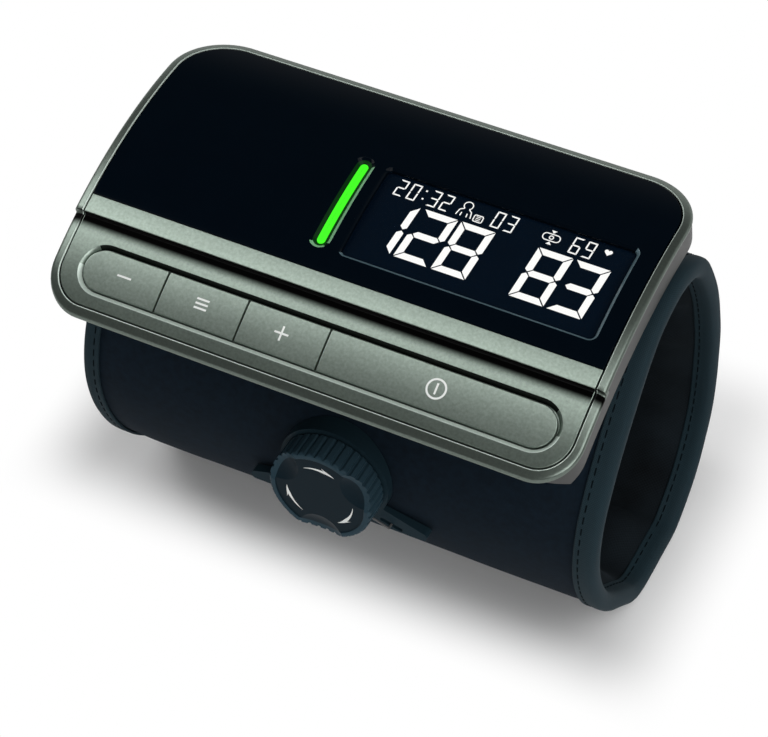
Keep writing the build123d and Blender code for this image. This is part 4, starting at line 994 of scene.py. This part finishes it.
@dataclass
class Keys:
    """The row of four keys in its bevelled groove."""

    spot: Spot = Spot(0.35, -36.4)
    length: float = 137.6
    height: float = 11.8
    splits: tuple[float, float, float] = (-44.8, -20.7, 3.4)
    gap: float = 0.35
    top: float = 1.65
    bottom: float = 3.9
    groove: float = 1.0
    # Share of the key height above which the groove's bevel is painted shade
    shaded_groove_from: float = 0.42
    stroke: float = 0.55

    def outline(self, left: float, right: float, grow: float) -> Loop:
        """Return a key's outline, round at an end of the row and straight at a split.

        Args:
            left: Left end, or minus infinity for the row's round end.
            right: Right end, or infinity for the row's round end.
            grow: Distance that the outline is moved outwards.
        """
        half, reach = self.height / 2, self.height / 2 + grow
        middle = self.length / 2 - half
        start = -middle if math.isinf(left) else left - grow
        end = middle if math.isinf(right) else right + grow
        rise = [(2 * index / 14 - 1) * reach for index in range(15)]
        loop, back = [(end, v) for v in rise], [(start, -v) for v in rise]
        if math.isinf(right):
            loop = corner_arc((end, 0), reach, -90.0, 28, 180.0)
        if math.isinf(left):
            back = corner_arc((start, 0), reach, 90.0, 28, 180.0)
        return loop + back

    def opening(self, skin: Skin) -> Loop:
        """Build the bevelled wall of the keys' opening and return its outline at the deck."""
        drop, wide = self.spot.face.step_drop, self.gap + self.groove
        profile = ((wide + 0.06, drop), (wide - 0.05, drop + 0.04),
                   (self.gap + 0.08, drop + self.groove - 0.08), (self.gap, drop + self.groove + 0.06),
                   (self.gap, drop + 1.9))
        rows = [[self.spot.place(u, v, depth) for u, v in self.outline(-math.inf, math.inf, grow)]
                for grow, depth in profile]
        first, heights = len(skin.paints), [v for u, v in self.outline(-math.inf, math.inf, 0.0)]
        skin.rows(rows[:4])
        # The groove's bevel is painted lighter at the front, a painted highlight, and darker at the rear,
        # painted shade; the wall below is black, a dark gap
        for index in range(first, len(skin.paints)):
            v = heights[(index - first) % len(heights)]
            back = DeckPaint.GROOVE_PAINTED_SHADE if v > self.height * self.shaded_groove_from else DeckPaint.BAND
            skin.paints[index] = DeckPaint.PAINTED_HIGHLIGHT if v < 0 else back
        skin.rows(rows[3:], paint=DeckPaint.GAP_AND_PAINTED_SHADE)
        outer = self.outline(-math.inf, math.inf, profile[0][0])
        return [self.spot.plan(u, v, drop) for u, v in outer]

    def sign(self, sign: Sign, u: float) -> list[list[Loop]]:
        """Return the areas of a printed sign about a place along the row."""
        t = self.stroke

        def bar(length: float, height: float = t, middle: Pair = (0.0, 0.25)) -> Loop:
            """Return a printed bar."""
            return [(u + middle[0] + a * length / 2, middle[1] + b * height / 2)
                    for a, b in ((-1, -1), (1, -1), (1, 1), (-1, 1))]

        if sign is Sign.MINUS:
            return [[bar(4.2)]]
        if sign is Sign.PLUS:
            size = 4.1
            return [[bar(size)], *([bar(t, (size - t) / 2, (0.0, 0.25 + way * (size + t) / 4))]
                                   for way in (1, -1))]
        if sign is Sign.LIST:
            return [[bar(3.7, t, (0.0, 0.4 + lift))] for lift in (-1.25, 0.0, 1.25)]
        rings = [corner_arc((u, 0.2), radius, 0.0, 48, 360.0)[:-1] for radius in (2.85, 2.85 - t)]
        return [rings, [bar(t, 3.1, (0.0, 0.2))]]

    def key(self, name: str, piece: str, body: str, ends: Pair, sign: Sign,
            at: float) -> bpy.types.Object:
        """Build one key with its printed sign.

        Args:
            name: CAD node that it stands for.
            piece: Name of the piece.
            body: Body that it rides on.
            ends: Left and right end, infinite at the row's ends.
            sign: The sign.
            at: Place of the sign along the row.
        """
        left, right = ends[0] - self.spot.x + self.gap / 2, ends[1] - self.spot.x - self.gap / 2
        flange = self.bottom - 0.5
        profile = ((0.9, self.bottom), (0.9, flange), (0.0, flange), (0.0, self.top + 0.32),
                   (-0.04, self.top + 0.17), (-0.14, self.top + 0.05), (-0.30, self.top))
        skin = Skin()
        skin.rows([[self.spot.place(u, v, depth) for u, v in self.outline(left, right, grow)]
                   for grow, depth in profile])
        top = self.outline(left, right, profile[-1][0])
        cuts = spaced(-self.height / 2, self.height / 2, 1.2)
        skin.sheet([top], lambda u, v: self.spot.place(u, v, self.top), cuts)
        for area in self.sign(sign, at):
            skin.sheet(area, lambda u, v: self.spot.place(u, v, self.top - 0.02), cuts,
                       paint=KeyPaint.PRINT)
        made = skin.build(piece, [KEY_METAL, PRINT_WHITE], normal=self.spot.face.normal)
        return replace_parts(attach(made, body), name)

    def build(self) -> list[bpy.types.Object]:
        """Build the four keys."""
        a, b, c = self.splits
        return [
            self.key("minus_key", "key_minus", "minus_button", (-math.inf, a), Sign.MINUS, -56.6),
            self.key("memory_key", "key_list", "memory_button", (a, b), Sign.LIST, -33.1),
            self.key("plus_key", "key_plus", "plus_button", (b, c), Sign.PLUS, -9.25),
            self.key("start_stop_key", "key_start_stop", "start_button", (c, math.inf), Sign.POWER, 35.45)]


# ---- display contents ------------------------------------------------------------------
@dataclass(frozen=True)
class Digits:
    """Slanted seven-segment digits of one size."""

    width: float
    height: float
    thick: float
    gap: float
    slant: float = 0.075

    LIT = {"0": "abcdef", "1": "bc", "2": "abged", "3": "abgcd", "6": "afgedc", "8": "abcdefg",
           "9": "abfgcd"}

    def segments(self) -> dict[str, Loop]:
        """Return the outline of each segment, upright, from the lower left corner."""
        w, h, t, g = self.width, self.height, self.thick, self.gap
        m = h / 2
        flat = [(g, h), (w - g, h), (w - g - t, h - t), (g + t, h - t)]
        upper = [(0, h - g), (t, h - g - t), (t, m + g + t * 0.45), (t * 0.45, m + g),
                 (0, m + g + t * 0.35)]
        return {
            "a": flat, "d": [(u, h - v) for u, v in flat], "f": upper,
            "b": [(w - u, v) for u, v in upper], "e": [(u, h - v) for u, v in upper],
            "c": [(w - u, h - v) for u, v in upper],
            "g": [(t * 0.5 + g, m), (t + g, m + t / 2), (w - t - g, m + t / 2), (w - t * 0.5 - g, m),
                  (w - t - g, m - t / 2), (t + g, m - t / 2)]}

    def digit(self, sign: str, corner: Pair) -> list[Loop]:
        """Return the lit segments of a digit with its lower left corner at a place."""
        shapes = self.segments()
        return [[(corner[0] + u + v * self.slant, corner[1] + v) for u, v in shapes[name]]
                for name in self.LIT[sign]]


@dataclass
class Readout:
    """What the display shows: time, reading, pulse and small signs."""

    spot: Spot = WINDOW_SPOT
    depth: float = 2.88
    big: Digits = Digits(9.9, 16.9, 1.95, 0.24)
    small: Digits = Digits(2.55, 5.4, 0.42, 0.05)
    stroke: float = 0.3
    base: float = 8.65

    def line(self, points: Sequence[Pair], closed: bool = False) -> list[Loop]:
        """Return the areas of a drawn line.

        Args:
            points: The line's points.
            closed: Whether it ends where it starts.
        """
        areas = []
        for index in range(0 if closed else 1, len(points)):
            (u0, v0), (u1, v1) = points[index - 1], points[index]
            length = math.hypot(u1 - u0, v1 - v0) or 1.0
            a, b = (v1 - v0) / length * self.stroke / 2, (u0 - u1) / length * self.stroke / 2
            areas.append([(u0 + a, v0 + b), (u1 + a, v1 + b), (u1 - a, v1 - b), (u0 - a, v0 - b)])
        return areas

    def numbers(self) -> list[Loop]:
        """Return the areas of all digits."""
        areas = []
        for sign, u in (("1", -34.3), ("2", -23.3), ("8", -12.45), ("8", 9.75), ("3", 20.35)):
            areas += self.big.digit(sign, (u, -9.5))
        for sign, u in (("2", -32.3), ("0", -28.5), ("3", -22.5), ("2", -18.9), ("0", -3.9),
                        ("3", -0.2), ("6", 18.4), ("9", 22.1)):
            areas += self.small.digit(sign, (u, self.base))
        for v in (10.0, 12.7):
            square = ((0, 0), (0.5, 0), (0.5, 0.5), (0, 0.5))
            areas.append([(-24.5 + a + v * 0.02, v + b) for a, b in square])
        return areas

    def person(self) -> list[Loop]:
        """Return the outline of the user's sign: a head over shoulders."""
        head = corner_arc((-11.6, 12.7), 1.25, -60.0, 16, 300.0)
        left = [(-12.3, 11.6), (-13.4, 10.9), (-13.8, 9.0)]
        right = [(-10.9, 11.6), (-10.0, 10.9), (-9.6, 9.0)]
        arms = [[(-12.5, 10.2), (-12.6, 9.0)], [(-10.9, 10.2), (-10.8, 9.0)]]
        drawn = self.line(head) + self.line(left) + self.line(right)
        return drawn + [area for arm in arms for area in self.line(arm)]

    def signs(self) -> list[Loop]:
        """Return the areas of the small signs: list box, arm in a cuff, and heart."""
        box = [(u - 7.55, v + 9.7) for u, v in rounded_box(2.5, 2.1, 0.4, 0.0, 5.0)]
        areas = self.line(box, True)
        areas += [[(-8.2, v), (-6.9, v), (-6.9, v + 0.22), (-8.2, v + 0.22)] for v in (9.05, 9.6, 10.15)]
        x, y = 12.8, 11.4
        cuff = [(u + x, v + y) for u, v in rounded_box(4.8, 2.2, 1.0, 0.0, 5.0)]
        areas += self.line(cuff, True)
        areas += self.line(corner_arc((x, y), 0.55, 0.0, 16, 360.0))
        for way in (-1, 1):
            areas.append([(x - 0.75, y + way * 2.3), (x + 0.75, y + way * 2.3), (x, y + way * 1.35)])
        return areas + [self.heart((28.45, 12.5), 0.068)]

    @staticmethod
    def heart(middle: Pair, size: float, count: int = 40) -> Loop:
        """Return the outline of a heart about a place."""
        loop = []
        for t in (2 * math.pi * index / count for index in range(count)):
            u = 16 * math.sin(t) ** 3
            v = 13 * math.cos(t) - 5 * math.cos(2 * t) - 2 * math.cos(3 * t) - math.cos(4 * t)
            loop.append((middle[0] + size * u, middle[1] + size * v))
        return loop

    def build(self) -> bpy.types.Object:
        """Build all that the display shows."""
        skin = Skin()
        for area in self.numbers() + self.person() + self.signs():
            skin.sheet([area], lambda u, v: self.spot.flat(u, v, self.depth), true=False)
        made = skin.build("display_readout", [DIGIT_WHITE], merge=False)
        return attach(made, "housing")


# ---- cuff ------------------------------------------------------------------------------
@dataclass(frozen=True)
class WallPlace:
    """One place of the cuff's wall line: where it is, its outward way and its length so far."""

    point: Vector
    outward: Vector
    run: float


@dataclass
class CuffLine:
    """The middle of the cuff's wall, seen from the side."""

    foot: float = 18.0
    bends: tuple[Pair, ...] = ((8.6, 34.0), (44.8, 53.6), (109.8, 37.7), (27.9, 101.1),
                               (129.4, 16.6), (40.1, 40.6), (66.0, 36.0))
    shift: tuple[float, float, float] = (0.0, 19.9208, 2.95)

    @staticmethod
    def walk(start: Vector, heading: float, radius: float, turn: float) -> tuple[Vector, float]:
        """Return where a bend ends and its heading there."""
        middle = start + Vector((-math.sin(heading), math.cos(heading))) * radius
        heading += math.radians(turn)
        return middle + Vector((math.sin(heading), -math.cos(heading))) * radius, heading

    def closing(self, start: Vector, heading: float) -> list[Pair]:
        """Return the two bends that lead from the last one to the front end of the foot."""
        gap = Vector((-self.foot / 2, 0.0)) - start
        along, ahead = Vector((math.cos(heading), math.sin(heading))), Vector((1.0, 0.0))
        spread = 2 * (1 - along.dot(ahead))
        run = gap.dot(along + ahead)
        reach = (math.sqrt(run ** 2 + spread * gap.dot(gap)) - run) / spread
        first = (gap + along * reach - ahead * reach) / 2
        last = gap - first
        rise = first.dot(Vector((-along.y, along.x)))
        turn = 2 * math.atan2(rise, first.dot(along))
        return [(first.dot(first) / (2 * rise), math.degrees(turn)),
                (-last.dot(last) / (2 * last.y), 360 - math.degrees(heading + turn))]

    def places(self, step: float) -> list[WallPlace]:
        """Return places once round, at most a step apart, from the foot's rear end."""
        start, heading, run = Vector((self.foot / 2, 0.0)), 0.0, 0.0
        bends, end, way = list(self.bends), start, heading
        for bend in self.bends:
            end, way = self.walk(end, way, *bend)
        bends += self.closing(end, way)
        made = []
        for radius, turn in bends:
            length = radius * math.radians(turn)
            for along in spaced(0.0, length, step)[:-1]:
                point, way = self.walk(start, heading, radius, turn * along / length)
                made.append(WallPlace(point, Vector((math.sin(way), -math.cos(way))), run + along))
            start, heading = self.walk(start, heading, radius, turn)
            run += length
        for along in spaced(0.0, self.foot, step)[:-1]:
            made.append(WallPlace(Vector((along - self.foot / 2, 0.0)), Vector((0.0, -1.0)), run + along))
        return made

    def world(self, x: float, flat: Vector) -> Vector:
        """Return the scene's place at X of a point seen from the side."""
        return (Vector((x, flat.x, flat.y)) + Vector(self.shift)) * MM

    def at(self, x: float, place: WallPlace, offset: float) -> Vector:
        """Return the scene's place on the wall at X, moved outwards by an offset."""
        return self.world(x, place.point + place.outward * offset)


def ripple(x: float, run: float, length: float, size: float, seed: float) -> float:
    """Return soft noise from -1 to 1, which closes round the cuff where X doesn't change.

    Args:
        x: Place along the cuff.
        run: Place round it.
        length: Length once round.
        size: Size of the waves.
        seed: Sets one pattern apart from another.
    """
    angle = 2 * math.pi * run / length
    reach = length / (2 * math.pi * size)
    return noise.noise(Vector((x / size + seed, reach * math.cos(angle), reach * math.sin(angle) + seed)))


@dataclass
class Cuff:
    """Outer cloth, lining, and the tape that binds both ends."""

    line: CuffLine = field(default_factory=CuffLine)
    length: float = 158.0
    cloth_at: float = 2.25
    lining_at: float = -2.25
    tape_at: float = 2.93
    tape_width: float = 6.6
    left_tape: Pair = (80.0, 5.7)
    right_tape: Pair = (79.0, 6.6)
    tape_wave: float = 0.12
    cloth_calm: float = 9.0
    lining_calm: float = 12.0
    lining_rise: float = 1.7
    fold: float = 3.4
    crease: float = 1.3
    cloth_end: float = 0.9
    step: float = 1.6
    stitch_length: float = 2.3
    stitch_radius: float = 0.20
    stitch_pitch: float = 3.3
    stitch_place: float = 1.55
    stitch_sunk: float = 0.20

    def once_round(self) -> tuple[list[WallPlace], float]:
        """Return the places once round the wall and the length round it."""
        places = self.line.places(self.step)
        return places, places[-1].run + (places[-1].point - places[0].point).length

    def tube(self, name: str, finish: Finish, half: float,
             offset: Callable[[float, float, float], float]) -> tuple[bpy.types.Object, Pair]:
        """Build one cloth of the wall.

        Args:
            name: Name of the piece.
            finish: Its cloth.
            half: Half of its length along X.
            offset: Gives the offset from the wall's middle at X and a place round a given length.

        Returns:
            The piece and its flat size in metres.
        """
        places, total = self.once_round()
        columns = spaced(-half, half, self.step * 1.5)
        skin = Skin()
        for x in columns:
            for place in [*places, places[0]]:
                skin.points.append(self.line.at(x, place, offset(x, place.run, total)))
                skin.unrolled.append((x * MM, place.run * MM))
        count = len(places) + 1
        for column in range(len(columns)):
            skin.unrolled[column * count + count - 1] = (columns[column] * MM, total * MM)
        for column in range(1, len(columns)):
            first = range((column - 1) * count, column * count)
            skin.join(first, range(column * count, (column + 1) * count), closed=False)
        made = skin.build(name, [finish], sharp=60.0)
        around = total + 2 * math.pi * offset(0.0, 0.0, total)
        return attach(made, "housing"), (around * MM, 2 * half * MM)

    def nearness(self, x: float, reach: float) -> float:
        """Return how near X is to a tape: 0 from a reach away, 1 under the tape."""
        gap = self.length / 2 - self.tape_width - abs(x)
        return min(1.0, max(0.0, 1 - gap / reach))

    def outer(self, x: float, run: float, total: float) -> float:
        """Return the outer cloth's offset: flat under the tape, softly uneven between."""
        near = self.nearness(x, self.cloth_calm)
        swell = ripple(x, run, total, 34.0, 3.0) * 0.35 + ripple(x, run, total, 11.0, 7.0) * 0.10
        return self.cloth_at - 0.1 + swell * (1 - near ** 2) - 0.25 * near ** 3

    def inner(self, x: float, run: float, total: float) -> float:
        """Return the lining's offset: it lies in long slanted folds over the bladder.

        The slant shifts X with the place round, so the folds don't meet at the foot's rear end.
        """
        calm = 1 - self.nearness(x, self.lining_calm) ** 2
        fold = ripple(x * 0.45 + run * 0.30, run, total, 15.0, 11.0)
        crease = (1 - abs(ripple(x * 0.35 - run * 0.22, run, total, 18.0, 19.0))) ** 6
        return self.lining_at - (self.lining_rise + fold * self.fold + crease * self.crease) * calm

    def tape(self, name: str, side: int, node: str) -> bpy.types.Object:
        """Build the tape folded over one end of the cuff.

        Args:
            name: Name of the piece.
            side: -1 for the left end, 1 for the right one.
            node: CAD node that it stands for.
        """
        places, total = self.once_round()
        end, w = self.right_tape if side > 0 else self.left_tape
        t = self.tape_at
        profile = [(w, t - 0.7), (w + 0.02, t - 0.2), (w - 0.12, t - 0.04), (w - 0.5, t),
                   (w - 1.6, t - 0.24), (w - 3.0, t), (2.6, t)]
        for index in range(1, 12):
            turn = math.radians(15 * index)
            profile.append((2.4 - 2.4 * abs(math.sin(turn)) ** 0.8, t * math.cos(turn)))
        profile += [(a, -b) for a, b in profile[6::-1]]
        skin = Skin()
        rows, gone = [], 0.0
        for index, (a, b) in enumerate(profile):
            if index:
                gone += math.hypot(a - profile[index - 1][0], b - profile[index - 1][1])
            row = []
            for place in [*places, places[0]]:
                wave = self.tape_wave * ripple(side * 50.0, place.run, total, 12.0, 5.0 + side)
                x = side * (end - max(0.0, a + wave))
                row.append(self.line.at(x, place, b))
                skin.unrolled.append((gone * MM, place.run * MM))
            skin.unrolled[-1] = (gone * MM, total * MM)
            rows.append(row)
        skin.rows(rows, closed=False)
        made = skin.build(name, [TAPE], sharp=50.0)
        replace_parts(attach(made, "housing"), node)
        return made

    def stitch(self, place: WallPlace, x: float, way: int) -> list[list[Vector]]:
        """Return the rows of one stitch, which lies sunk in the tape.

        Args:
            place: The wall's place at its middle.
            x: Its place along X.
            way: 1 for outside the wall, -1 for inside it.
        """
        along = Vector((place.outward.y, -place.outward.x))
        rows = []
        for share in (-0.5, -0.42, -0.2, 0.2, 0.42, 0.5):
            wide = self.stitch_radius * (1.0 if abs(share) < 0.45 else 0.35)
            row = []
            for turn in range(6):
                angle = math.pi * turn / 3
                rise = self.tape_at - self.stitch_sunk + 0.03 + 0.9 * wide * math.sin(angle)
                flat = place.point + place.outward * (way * rise) - along * (share * self.stitch_length)
                row.append(self.line.world(x + wide * math.cos(angle), flat))
            rows.append(row)
        return rows

    def stitches(self, side: int) -> bpy.types.Object:
        """Build the row of stitches along one tape, outside and inside."""
        places = self.line.places(0.5)
        end, width = self.right_tape if side > 0 else self.left_tape
        skin = Skin()
        for way in (1, -1):
            index = 0
            while index < len(places) - 8:
                place = places[index]
                skin.rows(self.stitch(place, side * (end - width + self.stitch_place), way))
                limit = place.run + self.stitch_pitch
                while index < len(places) - 1 and places[index].run < limit:
                    index += 1
        made = skin.build(f"stitches_{'left' if side < 0 else 'right'}", [THREAD])
        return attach(made, "housing")

    def build(self) -> list[bpy.types.Object]:
        half = self.length / 2 - self.cloth_end
        cloth, cloth_flat = self.tube("cuff_cloth_outer", CLOTH, half, self.outer)
        lining, lining_flat = self.tube("cuff_lining_mesh", MESH_LINING, half, self.inner)
        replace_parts(cloth, "cuff_outer_cloth")
        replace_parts(lining, "cuff_lining")
        trims = [self.tape("tape_left", -1, "left_binding"), self.tape("tape_right", 1, "right_binding"),
                 self.stitches(-1), self.stitches(1)]
        return [cloth, lining, *trims]


# ---- dial ------------------------------------------------------------------------------
class DialPaint(IntEnum):
    """Numbers of the knob's finishes: one moulding, with the face as painted shade and the rim and side as
    painted light.
    """

    FACE = 0
    SIDE_LIT = 1


@dataclass
class Dial:
    """The tensioning dial's knob with its printed arrows."""

    middle: tuple[float, float, float] = (2.1, -37.8368, 61.75)
    radius: float = 15.5
    top: float = 12.0
    bottom: float = 3.5
    edge: float = 0.9
    recess: float = 0.4
    recess_radius: float = 13.6
    grips: int = 36
    grip_radius: float = 0.55
    scoops: int = 3
    scoop_start: float = 30.0
    scoop_middle: float = 14.9
    scoop_depth: float = 1.7
    scoop_radius: float = 6.5
    wall: float = 1.4
    hollow: float = 3.0
    arrow_radius: float = 10.1
    arrow_half: float = 28.0
    arrow_neck: float = 8.0
    arrow_barb: float = 5.0
    arrow_widths: Pair = (0.05, 0.47)
    arrow_middles: tuple[float, float, float] = (90.0, -30.0, -150.0)
    turns: int = 720

    @staticmethod
    def polar(radius: float, angle: float) -> Pair:
        """Return the flat place at a distance and an angle from the middle."""
        return radius * math.cos(angle), radius * math.sin(angle)

    def place(self, x: float, y: float, z: float) -> Vector:
        """Return the scene's place of a point of the dial's frame."""
        return (Vector((x, -z, y)) + Vector(self.middle)) * MM

    def side(self, angle: float) -> float:
        """Return the knob's radius at an angle, between and in the grips."""
        pitch = 2 * math.pi / self.grips
        away = abs((angle + pitch) % pitch - pitch / 2) * self.radius
        cut = math.sqrt(max(0.0, self.grip_radius ** 2 - away ** 2))
        return self.radius - cut

    def scoop(self, radius: float, angle: float) -> float:
        """Return the height of the nearest scoop's dish at a place, or infinity outside."""
        ball = (self.scoop_radius ** 2 + self.scoop_depth ** 2) / (2 * self.scoop_depth)
        height = self.top - self.recess + ball - self.scoop_depth
        lowest = math.inf
        for index in range(self.scoops):
            turn = math.radians(self.scoop_start + 360 * index / self.scoops)
            away = math.dist(self.polar(radius, angle), self.polar(self.scoop_middle, turn))
            if away < ball:
                lowest = min(lowest, height - math.sqrt(ball ** 2 - away ** 2))
        return lowest

    def profile(self) -> list[Pair]:
        """Return radius and height of the knob's rows, from the middle outwards and down."""
        floor = self.top - self.recess
        rows = [(r, floor) for r in spaced(0.6, self.recess_radius - 0.2, 0.22)]
        rows += [(self.recess_radius - 0.05, floor + 0.08), (self.recess_radius, self.top - 0.1),
                 (self.recess_radius + 0.1, self.top - 0.02)]
        rows += [(r, self.top) for r in spaced(self.recess_radius + 0.25, self.radius - self.edge, 0.2)]
        for index in range(1, 10):
            turn = math.radians(10 * index)
            rows.append((self.radius - self.edge * (1 - math.sin(turn)),
                         self.top - self.edge * (1 - math.cos(turn))))
        rows += [(self.radius, z) for z in spaced(self.top - self.edge, self.bottom + 0.3, 0.35)[1:]]
        inside = self.radius - self.wall
        return rows + [(self.radius - 0.1, self.bottom + 0.08), (self.radius - 0.35, self.bottom),
                       (inside, self.bottom), (inside, self.bottom + self.hollow)]

    def knob(self) -> bpy.types.Object:
        """Build the knob."""
        angles = [2 * math.pi * index / self.turns for index in range(self.turns)]
        edge = [self.side(angle) for angle in angles]
        skin = Skin()
        rows, profile, inside = [], self.profile(), self.bottom + self.hollow
        for radius, height in profile:
            row = []
            for angle, limit in zip(angles, edge):
                r = min(radius, limit)
                z = min(height, self.scoop(r, angle)) if height > inside else height
                row.append(self.place(*self.polar(r, angle), z))
            rows.append(row)
        made = skin.rows(rows, paint=DialPaint.SIDE_LIT)
        # The recessed face takes the darker paint as painted shade; the rim and grips take the lighter
        # paint as painted light
        face = sum(radius < self.recess_radius for radius, height in profile if height > inside)
        skin.paints[:face * self.turns] = [DialPaint.FACE] * (face * self.turns)
        middle = skin.row([self.place(0.0, 0.0, self.top - self.recess)])[0]
        for index in range(self.turns):
            skin.faces.append((made[0][index - 1], made[0][index], middle))
            skin.paints.append(DialPaint.FACE)
        piece = skin.build("dial_knob_ribbed", [DIAL_FACE_SHADED, DIAL_SIDE_LIT], sharp=28.0)
        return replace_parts(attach(piece, "dial"), "dial_knob")

    def arrow(self, middle: float) -> Loop:
        """Return one printed arrow, clockwise, about an angle in degrees."""
        radius, (thin, thick) = self.arrow_radius, self.arrow_widths
        start, neck = middle + self.arrow_half, middle - self.arrow_neck
        barb, root = math.radians(neck + self.arrow_barb), math.radians(neck)
        point = math.radians(middle - self.arrow_half)
        outer, inner = [], []
        for share in (index / 14 for index in range(15)):
            angle = math.radians(start + (neck - start) * share)
            half = thin + (thick - thin) * share
            outer.append(self.polar(radius + half, angle))
            inner.append(self.polar(radius - half, angle))
        head = [self.polar(radius + 1.25, barb)]
        for share in (0.25, 0.5, 0.75):
            head.append(self.polar(radius + 1 - share, barb + (point - barb) * share))
        head.append(self.polar(radius, point))
        for share in (0.75, 0.5, 0.25):
            head.append(self.polar(radius - thick * (1 - share), root + (point - root) * share))
        return outer + head + inner[::-1]

    def arrows(self) -> bpy.types.Object:
        """Build the three printed arrows."""
        skin = Skin()
        height = self.top - self.recess + 0.02
        for middle in self.arrow_middles:
            skin.sheet([self.arrow(middle)], lambda x, y: self.place(x, y, height), true=False)
        made = skin.build("dial_arrows", [PRINT_WHITE])
        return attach(made, "dial")

    def build(self) -> list[bpy.types.Object]:
        """Build the dial's visible pieces."""
        return [self.knob(), self.arrows()]


# ---- studio ----------------------------------------------------------------------------
WHITE = (1.0, 1.0, 1.0)


@dataclass(frozen=True)
class Lamp:
    """A soft lamp aimed at the monitor, with its width along X."""

    name: str
    place: tuple[float, float, float]
    size: Pair
    watts: float

    def build(self, target: Vector) -> bpy.types.Object:
        """Build the lamp."""
        data = bpy.data.lights.new(self.name, "AREA")
        data.shape, data.energy = "RECTANGLE", self.watts
        data.size, data.size_y = self.size
        lamp = bpy.data.objects.new(self.name, data)
        back = (Vector(self.place) - target).normalized()
        up = back.cross(Vector((1.0, 0.0, 0.0))).normalized()
        turn = Matrix((up.cross(back), up, back)).transposed().to_4x4()
        lamp.matrix_world = Matrix.Translation(self.place) @ turn
        bpy.context.scene.collection.objects.link(lamp)
        return lamp


@dataclass
class Studio:
    """Camera, lamps, backdrop and floor."""

    eye: tuple[float, float, float] = (226.38, -460.97, 592.53)
    turn: float = 26.44
    elevation: float = 45.77
    lens: float = 121.516
    ceiling: float = 0.08
    front: float = 0.12
    back: float = 0.75
    walls_rise: Pair = (-0.2, 0.8)
    ceiling_rise: Pair = (0.25, 0.68)
    floor_half: float = 6.0
    floor_middle: Pair = (-0.008, 0.035)
    floor_near: Pair = (0.082, 0.048)
    floor_far: Pair = (0.112, 0.078)
    target: tuple[float, float, float] = (0.0, 0.0, 0.08)
    lamps: tuple[Lamp, ...] = (
        Lamp("deck_lamp", (-0.36, -0.285, 1.60), (2.3, 0.36), 7.8),
        Lamp("left_lamp", (-1.342, -0.03, 1.353), (0.89, 0.45), 4.0),
        Lamp("right_lamp", (1.15, -0.35, 1.5), (1.3, 1.2), 13.0),
        Lamp("front_lamp", (0.9, -1.3, 1.0), (1.2, 0.8), 10.0))

    def camera(self) -> None:
        """Build the camera."""
        data = bpy.data.cameras.new("camera")
        data.lens, data.sensor_width, data.sensor_fit = self.lens, 36.0, "HORIZONTAL"
        data.clip_start, data.clip_end = 0.05, 20.0
        camera = bpy.data.objects.new("camera", data)
        camera.location = Vector(self.eye) * MM
        camera.rotation_euler = (math.radians(90 - self.elevation), 0.0, math.radians(self.turn))
        bpy.context.scene.collection.objects.link(camera)
        bpy.context.scene.camera = camera

    def world(self) -> None:
        """Build the world: a white backdrop that lights from the back more than from the front."""
        world = bpy.data.worlds.new("studio")
        bpy.context.scene.world = world
        paint = Paint(world)
        way = paint.place("Generated")
        walls = paint.mix((self.front,) * 3, (self.back,) * 3, paint.part(way, "Y").rise(*self.walls_rise))
        room = paint.mix(walls, (self.ceiling,) * 3, paint.part(way, "Z").rise(*self.ceiling_rise))
        seen = paint.node("ShaderNodeLightPath", output="Is Camera Ray")
        paint.feed(paint.tree.nodes["Background"].inputs["Color"], paint.mix(room, WHITE, seen))

    def floor(self) -> None:
        """Build the pale floor: shaded near the object, and white for the camera far from it."""
        skin, ends = Skin(), (-self.floor_half, self.floor_half)
        skin.rows([[Vector((x, y, 0.0)) for x in ends] for y in ends], closed=False)
        paint = Paint.fresh("floor_pale")
        cloud = paint.speckle(3.0)
        paint.dress({"Base Color": paint.shade((0.93,) * 3, 1 + cloud * 0.01), "Roughness": 0.8,
                     "Specular IOR Level": 0.1})
        white = paint.node("ShaderNodeEmission", {}, {"Color": WHITE, "Strength": 1.0})
        seen = paint.node("ShaderNodeLightPath", output="Is Camera Ray")
        near: Term = 1.0
        for axis, middle, low, high in zip("XY", self.floor_middle, self.floor_near, self.floor_far):
            away = (paint.part(paint.place(), axis) - middle).size()
            near = near * (1 - away.rise(low, high))
        surface = Value(paint, paint.shader.outputs[0])
        mixed = paint.node("ShaderNodeMixShader", {}, {0: seen * (1 - near), 1: surface, 2: white})
        paint.feed(paint.tree.nodes["Material Output"].inputs["Surface"], mixed)
        made = skin.build("floor", [])
        made.data.materials.append(paint.owner)

    def light(self) -> None:
        """Build lamps, world and floor."""
        bpy.context.scene.view_settings.view_transform = "Standard"
        for lamp in self.lamps:
            lamp.build(Vector(self.target))
        self.world()
        self.floor()


def dress_nodes(frame: dict) -> None:
    """Give the CAD nodes that stay their finishes.

    Args:
        frame: The loaded frame.
    """
    for node, (finish, slot) in CAD_FINISHES.items():
        piece = frame["nodes"][node]
        piece.data.materials.clear()
        piece.data.materials.append(finish.material())
        LOG.info("dressed %s", node)


def main() -> None:
    """Build the scene in order: camera, pieces, CAD nodes, light."""
    logging.basicConfig(level=logging.INFO, format="%(name)s: %(message)s")
    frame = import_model()
    studio = Studio()
    studio.camera()
    keys = Keys()
    for group in (Housing().build(keys), keys.build(), [Readout().build()], Cuff().build(),
                  Dial().build()):
        for piece in group:
            LOG.info("built %s: %d faces", piece.name, len(piece.data.polygons))
    dress_nodes(frame)
    studio.light()
    bpy.context.view_layer.update()


if __name__ == "__main__":
    main()
